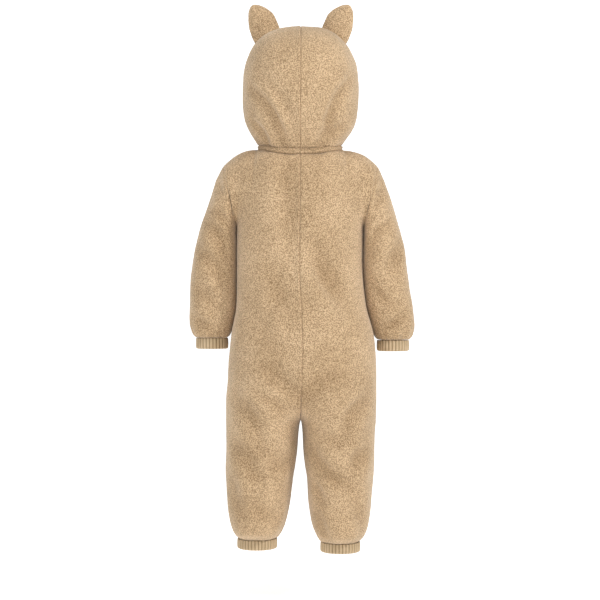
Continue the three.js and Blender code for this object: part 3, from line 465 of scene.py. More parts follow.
def seeded(place, seed):
    """Smooth noise between -1 and 1 at each place, one unit to a cell."""
    cell = np.floor(place).astype(np.int64)
    f = place - cell
    weight = f * f * f * (f * (f * 6 - 15) + 10)
    total = np.zeros(place.shape[:-1])
    for corner in product((0, 1), repeat=3):
        c = cell + corner
        key = (c[..., 0] * MIXERS[0]) ^ (c[..., 1] * MIXERS[1]) ^ (c[..., 2] * MIXERS[2]) ^ (seed * MIXERS[3])
        key = ((key ^ (key >> 13)) * STIRS[0]) & KEY_BITS
        key = ((key ^ (key >> 11)) * STIRS[1]) & KEY_BITS
        slope = np.stack([(key >> shift) & 255 for shift in (4, 12, 20)], axis=-1) / 127.5 - 1
        share = np.prod(np.where(corner, weight, 1 - weight), axis=-1)
        total += share * np.sum(slope * (f - corner), axis=-1)
    return NOISE_GAIN * total


SLUMP = {"height": 2.0, "scale": [0.016, 0.016, 0.011], "seed": 5}
RUMPLE = {"height": 1.1, "scale": [0.036, 0.036, 0.026], "seed": 9}
PILE = {"height": 0.3, "scale": [0.24, 0.24, 0.2], "seed": 1}
PILE_BEND = {"height": 5, "scale": 0.03, "seed": 3}


def layer(place, kind):
    return kind["height"] * seeded(place * kind["scale"], kind["seed"])


def drape(place):
    """The broad unevenness of cloth that hangs on a body."""
    lean = place + [0, 0, 0.5] * place[..., :1]
    return layer(lean, SLUMP) + layer(lean, RUMPLE)


def pile(place):
    """The clumps of the pile, as a height at each place."""
    return layer(place + layer(place, PILE_BEND)[..., None], PILE)


# Meshes

def grid_normals(grid, closed, outward):
    if closed:
        wide = np.concatenate([grid[:, -2:-1], grid, grid[:, 1:2]], axis=1)
        across = np.gradient(wide, axis=1)[:, 1:-1]
    else:
        across = np.gradient(grid, axis=1)
    normal = unit(np.cross(np.gradient(grid, axis=0), across))
    i, j = grid.shape[0] // 2, grid.shape[1] // 3
    if np.dot(normal[i, j], grid[i, j] - outward(grid[i, j])) < 0:
        normal = -normal
    return normal


def run_length(grid, axis):
    """The length along the grid from its first row or column, in millimetres."""
    step = np.linalg.norm(np.diff(grid, axis=axis), axis=-1)
    pad = [(0, 0), (0, 0)]
    pad[axis] = (1, 0)
    return np.cumsum(np.pad(step, pad), axis=axis)


RIDGE_AT, RIDGE_SPREAD = 3.6, 1.9
FLAT_RIDGE = 0.15


def seam_dent(distance, deep, width, ridge=0.0):
    """A sewn line: a narrow groove at the seam, and on one side the ridge of its allowance."""
    groove = deep * np.exp(-(distance / width) ** 2)
    return groove - ridge * np.exp(-((distance - RIDGE_AT) / RIDGE_SPREAD) ** 2)


def settle(grid, side, drop=0.0):
    out = grid.copy()
    out[..., 0] = side * grid[..., 0] + sway_at(grid[..., 2])["x"]
    if side == RIGHT:
        out[..., 2] -= drop
    return out


def leg_drop(z):
    return RIGHT_LEG_DROP * np.clip((CROTCH_Z - z) / (CROTCH_Z - LEG_SEAM_Z), 0, 1)


def sleeve_drop(z):
    return RIGHT_SLEEVE_DROP * np.clip((UNDERARM_Z - z) / (UNDERARM_Z - SLEEVE_SEAM_Z), 0, 1)


def shell(name, outer, inner, closed=False):
    """A closed thin wall between two grids of points."""
    rows, columns = outer.shape[:2]
    if closed:
        outer, inner, columns = outer[:, :-1], inner[:, :-1], columns - 1
    verts = np.concatenate([outer.reshape(-1, 3), inner.reshape(-1, 3)]) * MM
    index = np.arange(rows * columns).reshape(rows, columns)
    if closed:
        index = np.concatenate([index, index[:, :1]], axis=1)
    base = rows * columns
    quads = lambda a: np.stack([a[:-1, :-1], a[1:, :-1], a[1:, 1:], a[:-1, 1:]], axis=-1).reshape(-1, 4)
    band = lambda a: np.stack([a[:-1], a[1:], a[1:] + base, a[:-1] + base], axis=-1)
    faces = [quads(index), quads(index + base)[:, ::-1], band(index[0]), band(index[-1])[:, ::-1]]
    if not closed:
        faces += [band(index[:, 0])[:, ::-1], band(index[:, -1])]
    faces = np.concatenate(faces)
    mesh = bpy.data.meshes.new(name)
    mesh.from_pydata(verts.tolist(), [], faces.tolist())
    obj = bpy.data.objects.new(name, mesh)
    SCENE.collection.objects.link(obj)
    made = bmesh.new()
    made.from_mesh(mesh)
    if made.calc_volume(signed=True) < 0:
        bmesh.ops.reverse_faces(made, faces=made.faces[:])
    made.to_mesh(mesh)
    made.free()
    mesh.polygons.foreach_set("use_smooth", [True] * len(mesh.polygons))
    return obj


def mark(obj, name, outer, inner=None):
    """A number at each point of a shell, kept with the mesh for its material."""
    values = np.stack([outer, outer if inner is None else inner])
    obj.data.attributes.new(name, "FLOAT", "POINT").data.foreach_set("value", values.astype("f4").ravel())


SEAM_HOLD = 12
LEAST_X = 0.1


def cloth(name, grid, side, drop, outward, closed=False, dents=0.0, touching=None, loose=1.0):
    """A plush wall on a surface: folds and seams pressed in, then the pile raised on its face.
    Where it touches its neighbour it is pressed flat, by the share that touching gives.
    Near a seam that holds it, only the share loose of each fold is left."""
    normal = grid_normals(grid, closed, outward)
    flat = 1 - touching(grid, normal) if touching else 1.0
    seen = normal * [side, 1, 1]
    fall = drop(grid[..., 2])
    place = settle(grid, side, fall)
    hold = points(1.0 if closed else ease(np.clip(grid[..., 0] / SEAM_HOLD, 0, 1)), 1, 1)
    folds = flat * loose * fold_depth(place, seen)
    pressed = grid + hold * normal * (flat * (drape(place) - dents) - folds)[..., None]
    raised = pressed + hold * normal * (flat * pile(place))[..., None]
    under = pressed - normal * PLUSH
    if not closed:
        raised[..., 0] = np.maximum(raised[..., 0], LEAST_X)
        under[..., 0] = np.maximum(under[..., 0], LEAST_X)
        under[:, 0, 0] = np.where(grid[:, 0, 0] < 0.5, -ALLOWANCE, under[:, 0, 0])
    made = shell(name, settle(raised, side, fall), settle(under, side, fall), closed)
    # painted shade: the fold depth is kept on the mesh so the plush material can darken the cloth in its
    # folds
    mark(made, "fold_shade", (folds[:, :-1] if closed else folds) / FOLD_LIMIT)
    return made


SEAM_STOPS = [0, 0.5, 1.0, 1.6, 2.3, 3.1, 4.0, 5.0, 6.2]
SEAM_STOPS_END = 7.4
CURVE_STEPS, FINE_STEPS = 2000, 4000


def even(curve, low, high, seam=False):
    """Places along a curve, a cell's width apart, and closer to a seam where it starts at one."""
    fine = np.linspace(low, high, CURVE_STEPS)
    line = curve(fine)
    length = np.concatenate([[0], np.cumsum(np.linalg.norm(np.diff(line, axis=0), axis=-1))])
    count = max(int(length[-1] / CELL), 4)
    stops = np.linspace(0, length[-1], count + 1)
    if seam:
        stops = np.concatenate([SEAM_STOPS, stops[stops > SEAM_STOPS_END]])
    return np.interp(stops, length, fine)


def no_drop(z):
    return np.zeros_like(z)


def beside_sleeve(grid, normal):
    """Where the body's side lies against the sleeve."""
    above = np.clip((SEAT_Z + 80 - grid[..., 2]) / -20, 0, 1)
    below = np.clip((UNDERARM_Z + 12 - grid[..., 2]) / 10, 0, 1)
    return above * below * np.clip(normal[..., 0] * 2 - 0.9, 0, 1)


def beside_body(grid, normal):
    """Where the sleeve's inner side lies against the body."""
    return np.clip(-normal[..., 0] * 2 - 0.7, 0, 1) * np.clip((grid[..., 2] + 325) / 20, 0, 1)


def body_core(point):
    return np.array([50 if point[2] > CROTCH_Z else 70, SIDE_Y, point[2]])


SPACED_ALONG, SPACED_AT_ROW = 0.7, 12.0


def body_panel(side, face, word):
    rows = even(lambda r: panel_point(r, SPACED_ALONG, face), 0, BODY_ROWS)
    columns = even(lambda a: panel_point(SPACED_AT_ROW, a, face), 0, 1, seam=True)
    grid = panel_point(rows[:, None], columns[None, :], face)
    near, far = run_length(grid, 1), run_length(grid[:, ::-1], 1)[:, ::-1]
    top, low = run_length(grid, 0), run_length(grid[::-1], 0)[::-1]
    ridge = 0.9 if side == LEFT and face == BACK else FLAT_RIDGE
    under = np.clip((ARMHOLE["z"] + 60 - grid[..., 2]) / 60, 0, 1)
    dents = seam_dent(near, 1.4, 0.9, ridge) + seam_dent(far, 1.3, 2.2) * mix(0.45, 0.7, under)
    dents += seam_dent(low, 1.6, 3) + seam_dent(top, 1.0, 2.2) * (1 - np.exp(-(near / 3) ** 2))
    name = "back" if face == BACK else "front"
    loose = 1 - 0.9 * np.exp(-(far / 12) ** 2) * (1 - under)
    return cloth(f"plush_{name}_{word}", grid, side, leg_drop, body_core, dents=dents, touching=beside_sleeve,
                 loose=loose)


def sleeve(side, word):
    rings = even(lambda r: sleeve_point(r, 0.25), 0, SLEEVE_END)
    turns = np.linspace(0, 1, SLEEVE_COLUMNS)
    grid = sleeve_point(rings[:, None], turns[None, :])
    top, low = run_length(grid, 0), run_length(grid[::-1], 0)[::-1]
    under = np.clip((ARMHOLE["z"] + 40 - grid[..., 2]) / 60, 0, 1)
    dents = seam_dent(top, 1.5, 2.4) * mix(0.4, 0.55, under) + seam_dent(low, 1.2, 3)
    pucker = np.exp(-low / 16) * (1 - np.exp(-low / 4))
    wave = np.sin(turns * 2 * pi * SLEEVE_PUCKERS + 1.3 * np.sin(turns * 2 * pi * 3))
    dents += 1.9 * pucker * wave[None, :]
    core = lambda p: np.array([mix(122, 158, min(max(-77 - p[2], 0) / 240, 1)), -12, p[2]])
    return cloth(f"plush_sleeve_{word}", grid, side, sleeve_drop, core, closed=True, dents=dents,
                 touching=beside_body, loose=1 - 0.9 * np.exp(-(top / 14) ** 2))


def hood(side, word):
    f = even(hood_seam, 0, 1)
    down = even(lambda d: hood_point(np.full_like(d, 0.5), d), 0, 1, seam=True)
    grid = hood_point(f[:, None], down[None, :])
    near = run_length(grid, 1)
    low = run_length(grid[:, ::-1], 1)[:, ::-1]
    nape = run_length(grid[::-1], 0)[::-1]
    face = run_length(grid, 0)
    dents = seam_dent(near, 1.4, 0.9, 1.0 if side == LEFT else FLAT_RIDGE)
    dents += seam_dent(np.minimum(low, nape), 1.6, 3) + seam_dent(np.abs(face - 14), 1.2, 1.6)
    core = lambda p: np.array([20, HOOD_Y, 70])
    return cloth(f"plush_hood_{word}", grid, side, no_drop, core, dents=dents)


def ear_point(up, across, out):
    s = ear_at(up * EAR["height"])
    along = s["shift"] + s["half"] * across
    lean_z = (1 - EAR["lean_x"] ** 2) ** 0.5
    x = EAR["x"] + lean_z * along + EAR["lean_x"] * s["up"]
    y = EAR["y"] + out - EAR["cup"] * across * across * (1 - EAR_CUP_FADE * up)
    z = EAR["z"] - EAR["lean_x"] * along + lean_z * s["up"]
    seat = dome_height(x, y) + SEAM_GAP
    return points(x, y, np.where(up == 0, seat, np.maximum(z, seat + 1)))


def ear(side, word):
    """One closed soft ear: both layers, with their edges turned in."""
    up = np.linspace(0, 1, EAR_ROWS)
    turn = np.linspace(0, 2 * pi, EAR_COLUMNS)
    across, bulge = np.cos(turn), np.sin(turn)
    grids = []
    for skin in EAR_SKINS:
        thinner = 1 - EAR_TIP_THINNER * up[:, None] ** 4
        thick = (EAR["layer"] + HALF_GAP) * power(bulge, EAR_BULGE)[None, :] * thinner * skin["thick"]
        spread = across[None, :] * skin["wide"]
        grids.append(ear_point(np.broadcast_to(up[:, None], thick.shape), spread, thick))
    outer, inner = grids
    place = settle(outer, side)
    normal = grid_normals(outer, True, lambda p: np.array([EAR["x"] + 12, EAR["y"] - 3, p[2]]))
    outer = outer + normal * (EAR_PILE * pile(place))[..., None]
    return shell(f"plush_ear_{word}", settle(outer, side), settle(inner, side), closed=True)


def cuff(name, side, drop, ribs, top, height, ring):
    """A ribbed knit tube: round ribs outside, a folded lower edge."""
    columns = ribs * CUFF["points_a_rib"]
    turns = np.linspace(0, 1, columns + 1)
    levels = np.linspace(0, 1, CUFF["levels"])
    wave = np.abs(np.cos(turns * pi * ribs)) ** 0.8
    past = np.maximum(levels - CUFF["fold_from"], 0) / (1 - CUFF["fold_from"])
    roll = np.sqrt(np.clip(1 - past ** 2, 0, 1))
    swell = CUFF["swell"] * np.sin(levels * pi)
    angle = turns * 2 * pi
    grids = []
    for outside in (True, False):
        reach = (wave[None, :] * CUFF["knit"] * roll[:, None] - CUFF["wall"] * (1 - roll[:, None]) * 0.5
                 if outside else np.full((len(levels), len(turns)), -CUFF["wall"]))
        reach = reach + swell[:, None] * (1 if outside else 0)
        x = ring[0] + (ring[2] + reach) * np.cos(angle)[None, :]
        y = ring[1] + (ring[3] + reach) * np.sin(angle)[None, :]
        z = np.broadcast_to((top - height * levels)[:, None], x.shape)
        grids.append(settle(points(x, y, z), side, drop(z)))
    tube = shell(name, *grids, closed=True)
    # painted shade: the rib height is kept on the outside so the knit material can darken the grooves between
    # ribs; the inside gets no shade
    rib_shade = np.broadcast_to(wave[:-1], (len(levels), columns))
    mark(tube, "rib_shade", rib_shade, np.ones_like(rib_shade))
    return tube


def sleeve_cuff(side, word):
    s = sleeve_at(SLEEVE_END)
    ring = ((s["inner_x"] + s["outer_x"]) / 2, s["middle"],
            (s["outer_x"] - s["inner_x"]) / 2 - CUFF["rib"], s["depth"] - CUFF["rib"])
    top = s["outer_z"] - HALF_GAP
    name = f"knit_sleeve_cuff_{word}"
    return cuff(name, side, sleeve_drop, CUFF["sleeve_ribs"], top, CUFF["sleeve_height"], ring)


def leg_cuff(side, word):
    s = body_at(LEG_SEAM_Z)
    ring = ((s["inner"] + s["outer"]) / 2, (s["back"] + s["front"]) / 2,
            (s["outer"] - s["inner"]) / 2 - CUFF["rib"], (s["back"] - s["front"]) / 2 - CUFF["rib"])
    top = LEG_SEAM_Z - HALF_GAP
    return cuff(f"knit_leg_cuff_{word}", side, leg_drop, CUFF["leg_ribs"], top, CUFF["leg_height"], ring)


BAND_COLUMNS = 241
BAND_LEVELS = [-0.45, -0.2, 0, 0.1, 0.22, 0.36, 0.5, 0.64, 0.78, 0.9, 1, 1.2, 1.45]
BAND_SWELL, BAND_PILE, BAND_BACKING = 1.1, 0.5, 1.5
TUCK_SLOPE, TUCK_MOST = 16, 3.2


def neck_band():
    """The narrow strip between hood and body, stitched along both edges."""
    turns = np.linspace(-THROAT_TURN, THROAT_TURN, BAND_COLUMNS)
    levels = np.array(BAND_LEVELS)
    seam = hood_edge(np.abs(turns))
    seam[:, 0] = np.where(turns < 0, -1, 1) * seam[:, 0]
    out = unit(points(np.sin(turns), np.cos(turns), 0 * turns))
    beyond = np.maximum(np.abs(levels - 0.5) - 0.5, 0)
    tuck = np.minimum(beyond * TUCK_SLOPE, TUCK_MOST)
    swell = BAND_SWELL * np.sin(np.clip(levels, 0, 1) * pi) ** 0.6 - tuck
    grid = seam[None] - points(0, 0, SEAM_GAP + BAND * (1 - levels))[:, None]
    outer = grid + out[None] * swell[:, None, None]
    place = settle(outer, LEFT)
    outer = outer + out[None] * (drape(place) + BAND_PILE * pile(place))[..., None]
    inner = grid + out[None] * (drape(place) - PLUSH - BAND_BACKING)[..., None]
    return shell("plush_neck_band", settle(outer, LEFT), settle(inner, LEFT))


STITCH = {"long": 3.0, "pitch": 4.2, "thick": 0.55, "ring": 6, "reach": 1.7, "sink": 1.6, "thin_end": 0.35}
STITCH_ROWS = (-1.6, -BAND + 1.0)
STITCH_START, STITCH_STOP = 2, 4


def neck_stitches():
    """Top stitching: one row of short thread loops along each edge of the band."""
    turns = np.linspace(-THROAT_TURN, THROAT_TURN, FINE_STEPS)
    line = hood_edge(np.abs(turns))
    line[:, 0] = np.where(turns < 0, -1, 1) * line[:, 0]
    length = np.concatenate([[0], np.cumsum(np.linalg.norm(np.diff(line, axis=0), axis=-1))])
    made = bmesh.new()
    for lift in STITCH_ROWS:
        for start in np.arange(STITCH_START, length[-1] - STITCH_STOP, STITCH["pitch"]):
            rings = []
            for f in (0, 0.2, 0.5, 0.8, 1):
                turn = np.interp(start + f * STITCH["long"], length, turns)
                place = hood_edge(abs(turn)) * [-1 if turn < 0 else 1, 1, 1]
                out = np.array([np.sin(turn), np.cos(turn), 0])
                reach = STITCH["reach"] - STITCH["sink"] * abs(2 * f - 1) ** 3
                centre = place + out * reach + [0, 0, lift - SEAM_GAP]
                centre = centre + out * drape(settle(centre, LEFT))
                size = STITCH["thick"] * (STITCH["thin_end"] if f in (0, 1) else 1)
                turned = [k / STITCH["ring"] * 2 * pi for k in range(STITCH["ring"])]
                ring = [centre + size * (np.cos(a) * out + np.sin(a) * np.array([0, 0, 1])) for a in turned]
                rings.append([made.verts.new(settle(point, LEFT)) for point in ring])
            for a, b in zip(rings, rings[1:]):
                for k in range(STITCH["ring"]):
                    n = (k + 1) % STITCH["ring"]
                    made.faces.new((a[k], a[n], b[n], b[k]))
            made.faces.new(rings[0][::-1])
            made.faces.new(rings[-1])
    return zip_mesh("neck_stitches", made)


# Zip

CENTRE_FRONT = panel_point(np.linspace(BODY_ROWS, 0, FINE_STEPS), 0.0, FRONT)


def front_frame(z):
    """The centre front at a height: the cloth's outer face, the way up along it, and the way out."""
    place = lambda height: np.array([0, np.interp(height, CENTRE_FRONT[:, 2], CENTRE_FRONT[:, 1]), height])
    up = unit(place(z + 2) - place(z - 2))
    return place(z), up, np.array([0, -up[2], up[1]])


def zip_tape(side, word):
    top = np.minimum(neck_edge(THROAT_TURN)[2] - 3, 0)
    levels = np.linspace(hood_edge(THROAT_TURN)[2] - 1, ZIP_BELOW_Z - TAPE_PAST_END, TAPE_ROWS)
    outer, inner = [], []
    for z in levels:
        origin, up, out = front_frame(min(z, top))
        origin = origin + [0, 0, max(z - top, 0)]
        near = mix(TAPE["from"], TAPE["drawn_to"], ease(np.clip((ZIP_END_Z + 5 - z) / 4, 0, 1)))
        row = []
        for x in np.linspace(near, TAPE["to"], TAPE_COLUMNS):
            curl = TAPE["curl"] * max(x - TAPE["flat_to"], 0) ** 2
            row.append(origin + [x, 0, 0] - out * (PLUSH + TAPE["under"] + curl))
        outer.append(row)
        inner.append([p - out * TAPE["thick"] for p in row])
    return shell(f"woven_zip_tape_{word}", settle(np.array(outer), side), settle(np.array(inner), side))


def zip_box(made, across, out, along):
    """A small box in the zip's own frame: across, out and along."""
    corners = [(x, -o, s) for x in across for o in out for s in along]
    verts = [made.verts.new(c) for c in corners]
    for face in BOX_FACES:
        made.faces.new([verts[k] for k in face])


def zip_mesh(name, made, place=None, bevel=0.0, segments=2):
    bmesh.ops.recalc_face_normals(made, faces=made.faces[:])
    mesh = bpy.data.meshes.new(name)
    made.to_mesh(mesh)
    made.free()
    points_in = np.array([v.co[:] for v in mesh.vertices])
    if place is not None:
        origin, up, out = place
        basis = np.array([[1, 0, 0], -out, up])
        points_in = points_in @ basis + origin + [sway_at(origin[2])["x"], 0, 0]
    mesh.vertices.foreach_set("co", (points_in * MM).astype("f4").ravel())
    obj = bpy.data.objects.new(name, mesh)
    SCENE.collection.objects.link(obj)
    if bevel:
        mod = obj.modifiers.new("rounding", "BEVEL")
        mod.width = bevel * MM
        mod.segments = segments
        mod.limit_method = "ANGLE"
    return obj


def zip_chain():
    """Moulded teeth, left and right by turns, on the two cords of the tapes."""
    made = bmesh.new()
    z, k = TEETH_TOP_Z, 0
    while z > ZIP_END_Z + TEETH_ABOVE_END:
        origin, up, out = front_frame(z)
        shift = 1 if k % 2 else -1
        for start, end, wide in TOOTH_PARTS:
            across = sorted((-shift * start, -shift * end))
            verts = []
            for x in across:
                for depth in TOOTH_DEPTHS:
                    for s in (-wide, wide):
                        co = origin + [x + sway_at(origin[2])["x"], 0, 0] + out * depth + up * s
                        verts.append(made.verts.new(co))
            for face in BOX_FACES:
                made.faces.new([verts[n] for n in face])
        z -= TEETH_PITCH * up[2]
        k += 1
    return zip_mesh("zip_teeth", made, bevel=0.18, segments=1)


def zip_slider():
    made = bmesh.new()
    along = (-SLIDER_HALF, SLIDER_HALF)
    zip_box(made, (-5, 5), (-2.9, -1.5), along)
    zip_box(made, (-2.6, 2.6), (-4.6, -2.9), along)
    zip_box(made, (-5, 5), (-5.8, -4.6), along)
    for post in ((-4.2, -3.0), (3.0, 4.2)):
        zip_box(made, (-1.3, 1.3), (-1.5, 2.6), post)
    zip_box(made, (-1.3, 1.3), (1.5, 2.6), (-3.0, 3.0))
    return zip_mesh("zip_slider_body", made, front_frame(SLIDER_Z), bevel=0.35)


def zip_pull():
    """A flat tab with a window for the slider's bridge and a rounded, slightly waisted end."""
    rail, bar, window, long = PULL["rail"], PULL["bar"], PULL["window"], PULL["long"]
    ring = []
    for k in range(PULL_STEPS + 1):
        s = bar - (long + bar) * k / PULL_STEPS
        waist = 1 - PULL_WAIST * np.exp(-((s + PULL_WAIST_AT) / PULL_WAIST_SPREAD) ** 2)
        past = max((-s - (long - PULL_END)) / PULL_END, 0)
        end = (1 - past ** 2) ** 0.5 if past else 1
        ring.append((PULL["half"] * waist * max(end, PULL_END_LEAST), s))
    outline = ring + [(-x, s) for x, s in reversed(ring)]
    hole = [(-rail, -bar), (rail, -bar), (rail, -window), (-rail, -window)]
    made = bmesh.new()
    faces = []
    for y in (-PULL["half_thick"] - PULL["set_in"], PULL["half_thick"] - PULL["set_in"]):
        faces.append([[made.verts.new((x, y, s)) for x, s in loop] for loop in (outline, hole)])
    for a, b in zip(*faces):
        for n in range(len(a)):
            after = (n + 1) % len(a)
            made.faces.new((a[n], a[after], b[after], b[n]))
    for pair in faces:
        edges = []
        for loop in pair:
            edges += [made.edges.get(ends) for ends in zip(loop, loop[1:] + loop[:1])]
        bmesh.ops.triangle_fill(made, use_beauty=True, use_dissolve=False, edges=edges)
    return zip_mesh("zip_pull_tab", made, front_frame(SLIDER_Z), bevel=0.25)


# Materials

def nodes_of(name):
    mat = bpy.data.materials.new(name)
    mat.use_nodes = True
    tree = mat.node_tree
    tree.nodes.clear()
    out = tree.nodes.new("ShaderNodeOutputMaterial")
    shader = tree.nodes.new("ShaderNodeBsdfPrincipled")
    tree.links.new(shader.outputs["BSDF"], out.inputs["Surface"])
    return mat, tree, shader


def attribute_node(tree, name):
    node = tree.nodes.new("ShaderNodeAttribute")
    node.attribute_name = name
    return node.outputs["Fac"]


def noise_node(tree, coord, scale, detail, rough, stretch=(1, 1, 1)):
    mapping = tree.nodes.new("ShaderNodeMapping")
    mapping.inputs["Scale"].default_value = stretch
    tree.links.new(coord, mapping.inputs["Vector"])
    node = tree.nodes.new("ShaderNodeTexNoise")
    node.inputs["Scale"].default_value = scale
    node.inputs["Detail"].default_value = detail
    node.inputs["Roughness"].default_value = rough
    tree.links.new(mapping.outputs["Vector"], node.inputs["Vector"])
    return node.outputs["Fac"]


def ramp_node(tree, value, low, high, dark, light):
    node = tree.nodes.new("ShaderNodeValToRGB")
    node.color_ramp.elements[0].position = low
    node.color_ramp.elements[1].position = high
    node.color_ramp.elements[0].color = (*dark, 1)
    node.color_ramp.elements[1].color = (*light, 1)
    tree.links.new(value, node.inputs["Fac"])
    return node.outputs["Color"]


def multiply(tree, a, b):
    node = tree.nodes.new("ShaderNodeMix")
    node.data_type = "RGBA"
    node.blend_type = "MULTIPLY"
    node.inputs["Factor"].default_value = 1.0
    tree.links.new(a, node.inputs[6])
    tree.links.new(b, node.inputs[7])
    return node.outputs[2]


def bump(tree, height, strength, distance, before=None):
    node = tree.nodes.new("ShaderNodeBump")
    node.inputs["Strength"].default_value = strength
    node.inputs["Distance"].default_value = distance
    tree.links.new(height, node.inputs["Height"])
    if before is not None:
        tree.links.new(before, node.inputs["Normal"])
    return node.outputs["Normal"]


# Scales of the noises and of the knit's wave, and colours
GRAIN_SCALE, CLUMP_SCALE, MOTTLE_SCALE = 900, 600, 14
FUZZ_SCALE, TONE_SCALE, LOOP_SCALE, WEAVE_SCALE, SCUFF_SCALE = 700, 60, 210, 1100, 900
PLUSH_DARK, PLUSH_LIGHT = (0.515, 0.366, 0.223), (0.600, 0.436, 0.277)
KNIT_DARK, KNIT_LIGHT = (0.58, 0.44, 0.275), (0.66, 0.51, 0.335)
TAPE_DARK, TAPE_LIGHT = (0.36, 0.25, 0.14), (0.47, 0.34, 0.20)
WHITE = (1.0, 1.0, 1.0)


def plush_material():
    """Short coral pile: painted shade in the hollows between the clumps and painted light on their tops, soft
    mottling where the nap is brushed, and painted shade in the folds.
    """
    mat, tree, shader = nodes_of("plush")
    coord = tree.nodes.new("ShaderNodeTexCoord").outputs["Object"]
    grain = noise_node(tree, coord, GRAIN_SCALE, 0, 0.5)
    clump = noise_node(tree, coord, CLUMP_SCALE, 0, 0.5)
    mottle = noise_node(tree, coord, MOTTLE_SCALE, 1, 0.5)
    base = ramp_node(tree, mottle, 0.35, 0.68, PLUSH_DARK, PLUSH_LIGHT)
    fine = ramp_node(tree, grain, 0.40, 0.60, (0.86, 0.84, 0.80), WHITE)
    # painted shade and light of the pile: darker in the hollows of the clump bump, lighter on its tops
    clump_shade = ramp_node(tree, clump, 0.37, 0.61, (0.56, 0.52, 0.46), (1.15, 1.15, 1.15))
    # painted shade in the folds: darker where the cloth is pressed in, slightly lighter where it is not
    fold_shade = attribute_node(tree, "fold_shade")
    folds = ramp_node(tree, fold_shade, 0.0, 1.0, (1.03, 1.03, 1.03), (0.86, 0.835, 0.80))
    grained = multiply(tree, multiply(tree, base, fine), clump_shade)
    tree.links.new(multiply(tree, grained, folds), shader.inputs["Base Color"])
    shader.inputs["Roughness"].default_value = 1.0
    shader.inputs["Specular IOR Level"].default_value = 0.1
    shader.inputs["Sheen Weight"].default_value = 0.5
    shader.inputs["Sheen Roughness"].default_value = 0.5
    shader.inputs["Sheen Tint"].default_value = (1.0, 0.9, 0.76, 1)
    coarse = bump(tree, clump, 0.7, 0.0010)
    tree.links.new(bump(tree, grain, 0.55, 0.0008, coarse), shader.inputs["Normal"])
    return mat


def knit_material():
    """Fine knit: small loops along the ribs, with painted shade in the grooves between the ribs."""
    mat, tree, shader = nodes_of("rib_knit")
    coord = tree.nodes.new("ShaderNodeTexCoord").outputs["Object"]
    fuzz = noise_node(tree, coord, FUZZ_SCALE, 2, 0.6)
    tone = noise_node(tree, coord, TONE_SCALE, 2, 0.5)
    wave = tree.nodes.new("ShaderNodeTexWave")
    wave.wave_type = "BANDS"
    wave.bands_direction = "Z"
    wave.inputs["Scale"].default_value = LOOP_SCALE
    wave.inputs["Distortion"].default_value = 2.5
    wave.inputs["Detail"].default_value = 1.0
    tree.links.new(coord, wave.inputs["Vector"])
    base = ramp_node(tree, tone, 0.35, 0.7, KNIT_DARK, KNIT_LIGHT)
    loops = ramp_node(tree, wave.outputs["Fac"], 0.1, 0.7, (0.8, 0.78, 0.74), WHITE)
    # painted shade in the grooves between the ribs
    rib_shade = attribute_node(tree, "rib_shade")
    ribs = ramp_node(tree, rib_shade, 0.05, 0.75, (0.52, 0.47, 0.40), WHITE)
    tree.links.new(multiply(tree, multiply(tree, base, loops), ribs), shader.inputs["Base Color"])
    shader.inputs["Roughness"].default_value = 0.95
    shader.inputs["Specular IOR Level"].default_value = 0.15
    shader.inputs["Sheen Weight"].default_value = 0.25
    shader.inputs["Sheen Roughness"].default_value = 0.5
    rows = bump(tree, wave.outputs["Fac"], 0.5, 0.0005)
    tree.links.new(bump(tree, fuzz, 0.3, 0.0003, rows), shader.inputs["Normal"])
    return mat


def tape_material():
    mat, tree, shader = nodes_of("zip_tape")
    coord = tree.nodes.new("ShaderNodeTexCoord").outputs["Object"]
    weave = noise_node(tree, coord, WEAVE_SCALE, 1, 0.5, stretch=(1, 1, 0.35))
    color = ramp_node(tree, weave, 0.35, 0.65, TAPE_DARK, TAPE_LIGHT)
    tree.links.new(color, shader.inputs["Base Color"])
    shader.inputs["Roughness"].default_value = 0.9
    tree.links.new(bump(tree, weave, 0.5, 0.0003), shader.inputs["Normal"])
    return mat


def solid_material(name, color, roughness, metallic, wear):
    mat, tree, shader = nodes_of(name)
    coord = tree.nodes.new("ShaderNodeTexCoord").outputs["Object"]
    scuff = noise_node(tree, coord, SCUFF_SCALE, 3, 0.6)
    darker = tuple(c * wear for c in color)
    tree.links.new(ramp_node(tree, scuff, 0.3, 0.7, darker, color), shader.inputs["Base Color"])
    shader.inputs["Roughness"].default_value = roughness
    shader.inputs["Metallic"].default_value = metallic
    tree.links.new(bump(tree, scuff, 0.15, 0.0001), shader.inputs["Normal"])
    return mat


def stage_material():
    mat, tree, shader = nodes_of("stage")
    shader.inputs["Base Color"].default_value = (0.93, 0.93, 0.92, 1)
    shader.inputs["Roughness"].default_value = 0.9
    shader.inputs["Specular IOR Level"].default_value = 0.1
    shader.inputs["Emission Color"].default_value = (1, 1, 1, 1)
    shader.inputs["Emission Strength"].default_value = 0.6
    return mat


MATERIALS = {
    "plush": plush_material(),
    "rib_knit": knit_material(),
    "zip_tape": tape_material(),
    "zip_teeth": solid_material("zip_teeth", (0.45, 0.33, 0.19), 0.45, 0.0, 0.85),
    "zip_metal": solid_material("zip_metal", (0.62, 0.60, 0.56), 0.3, 1.0, 0.9),
}


def finish(piece, slot, body, nodes):
    piece.data.materials.append(MATERIALS[slot])
    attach(piece, body)
    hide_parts(*nodes)


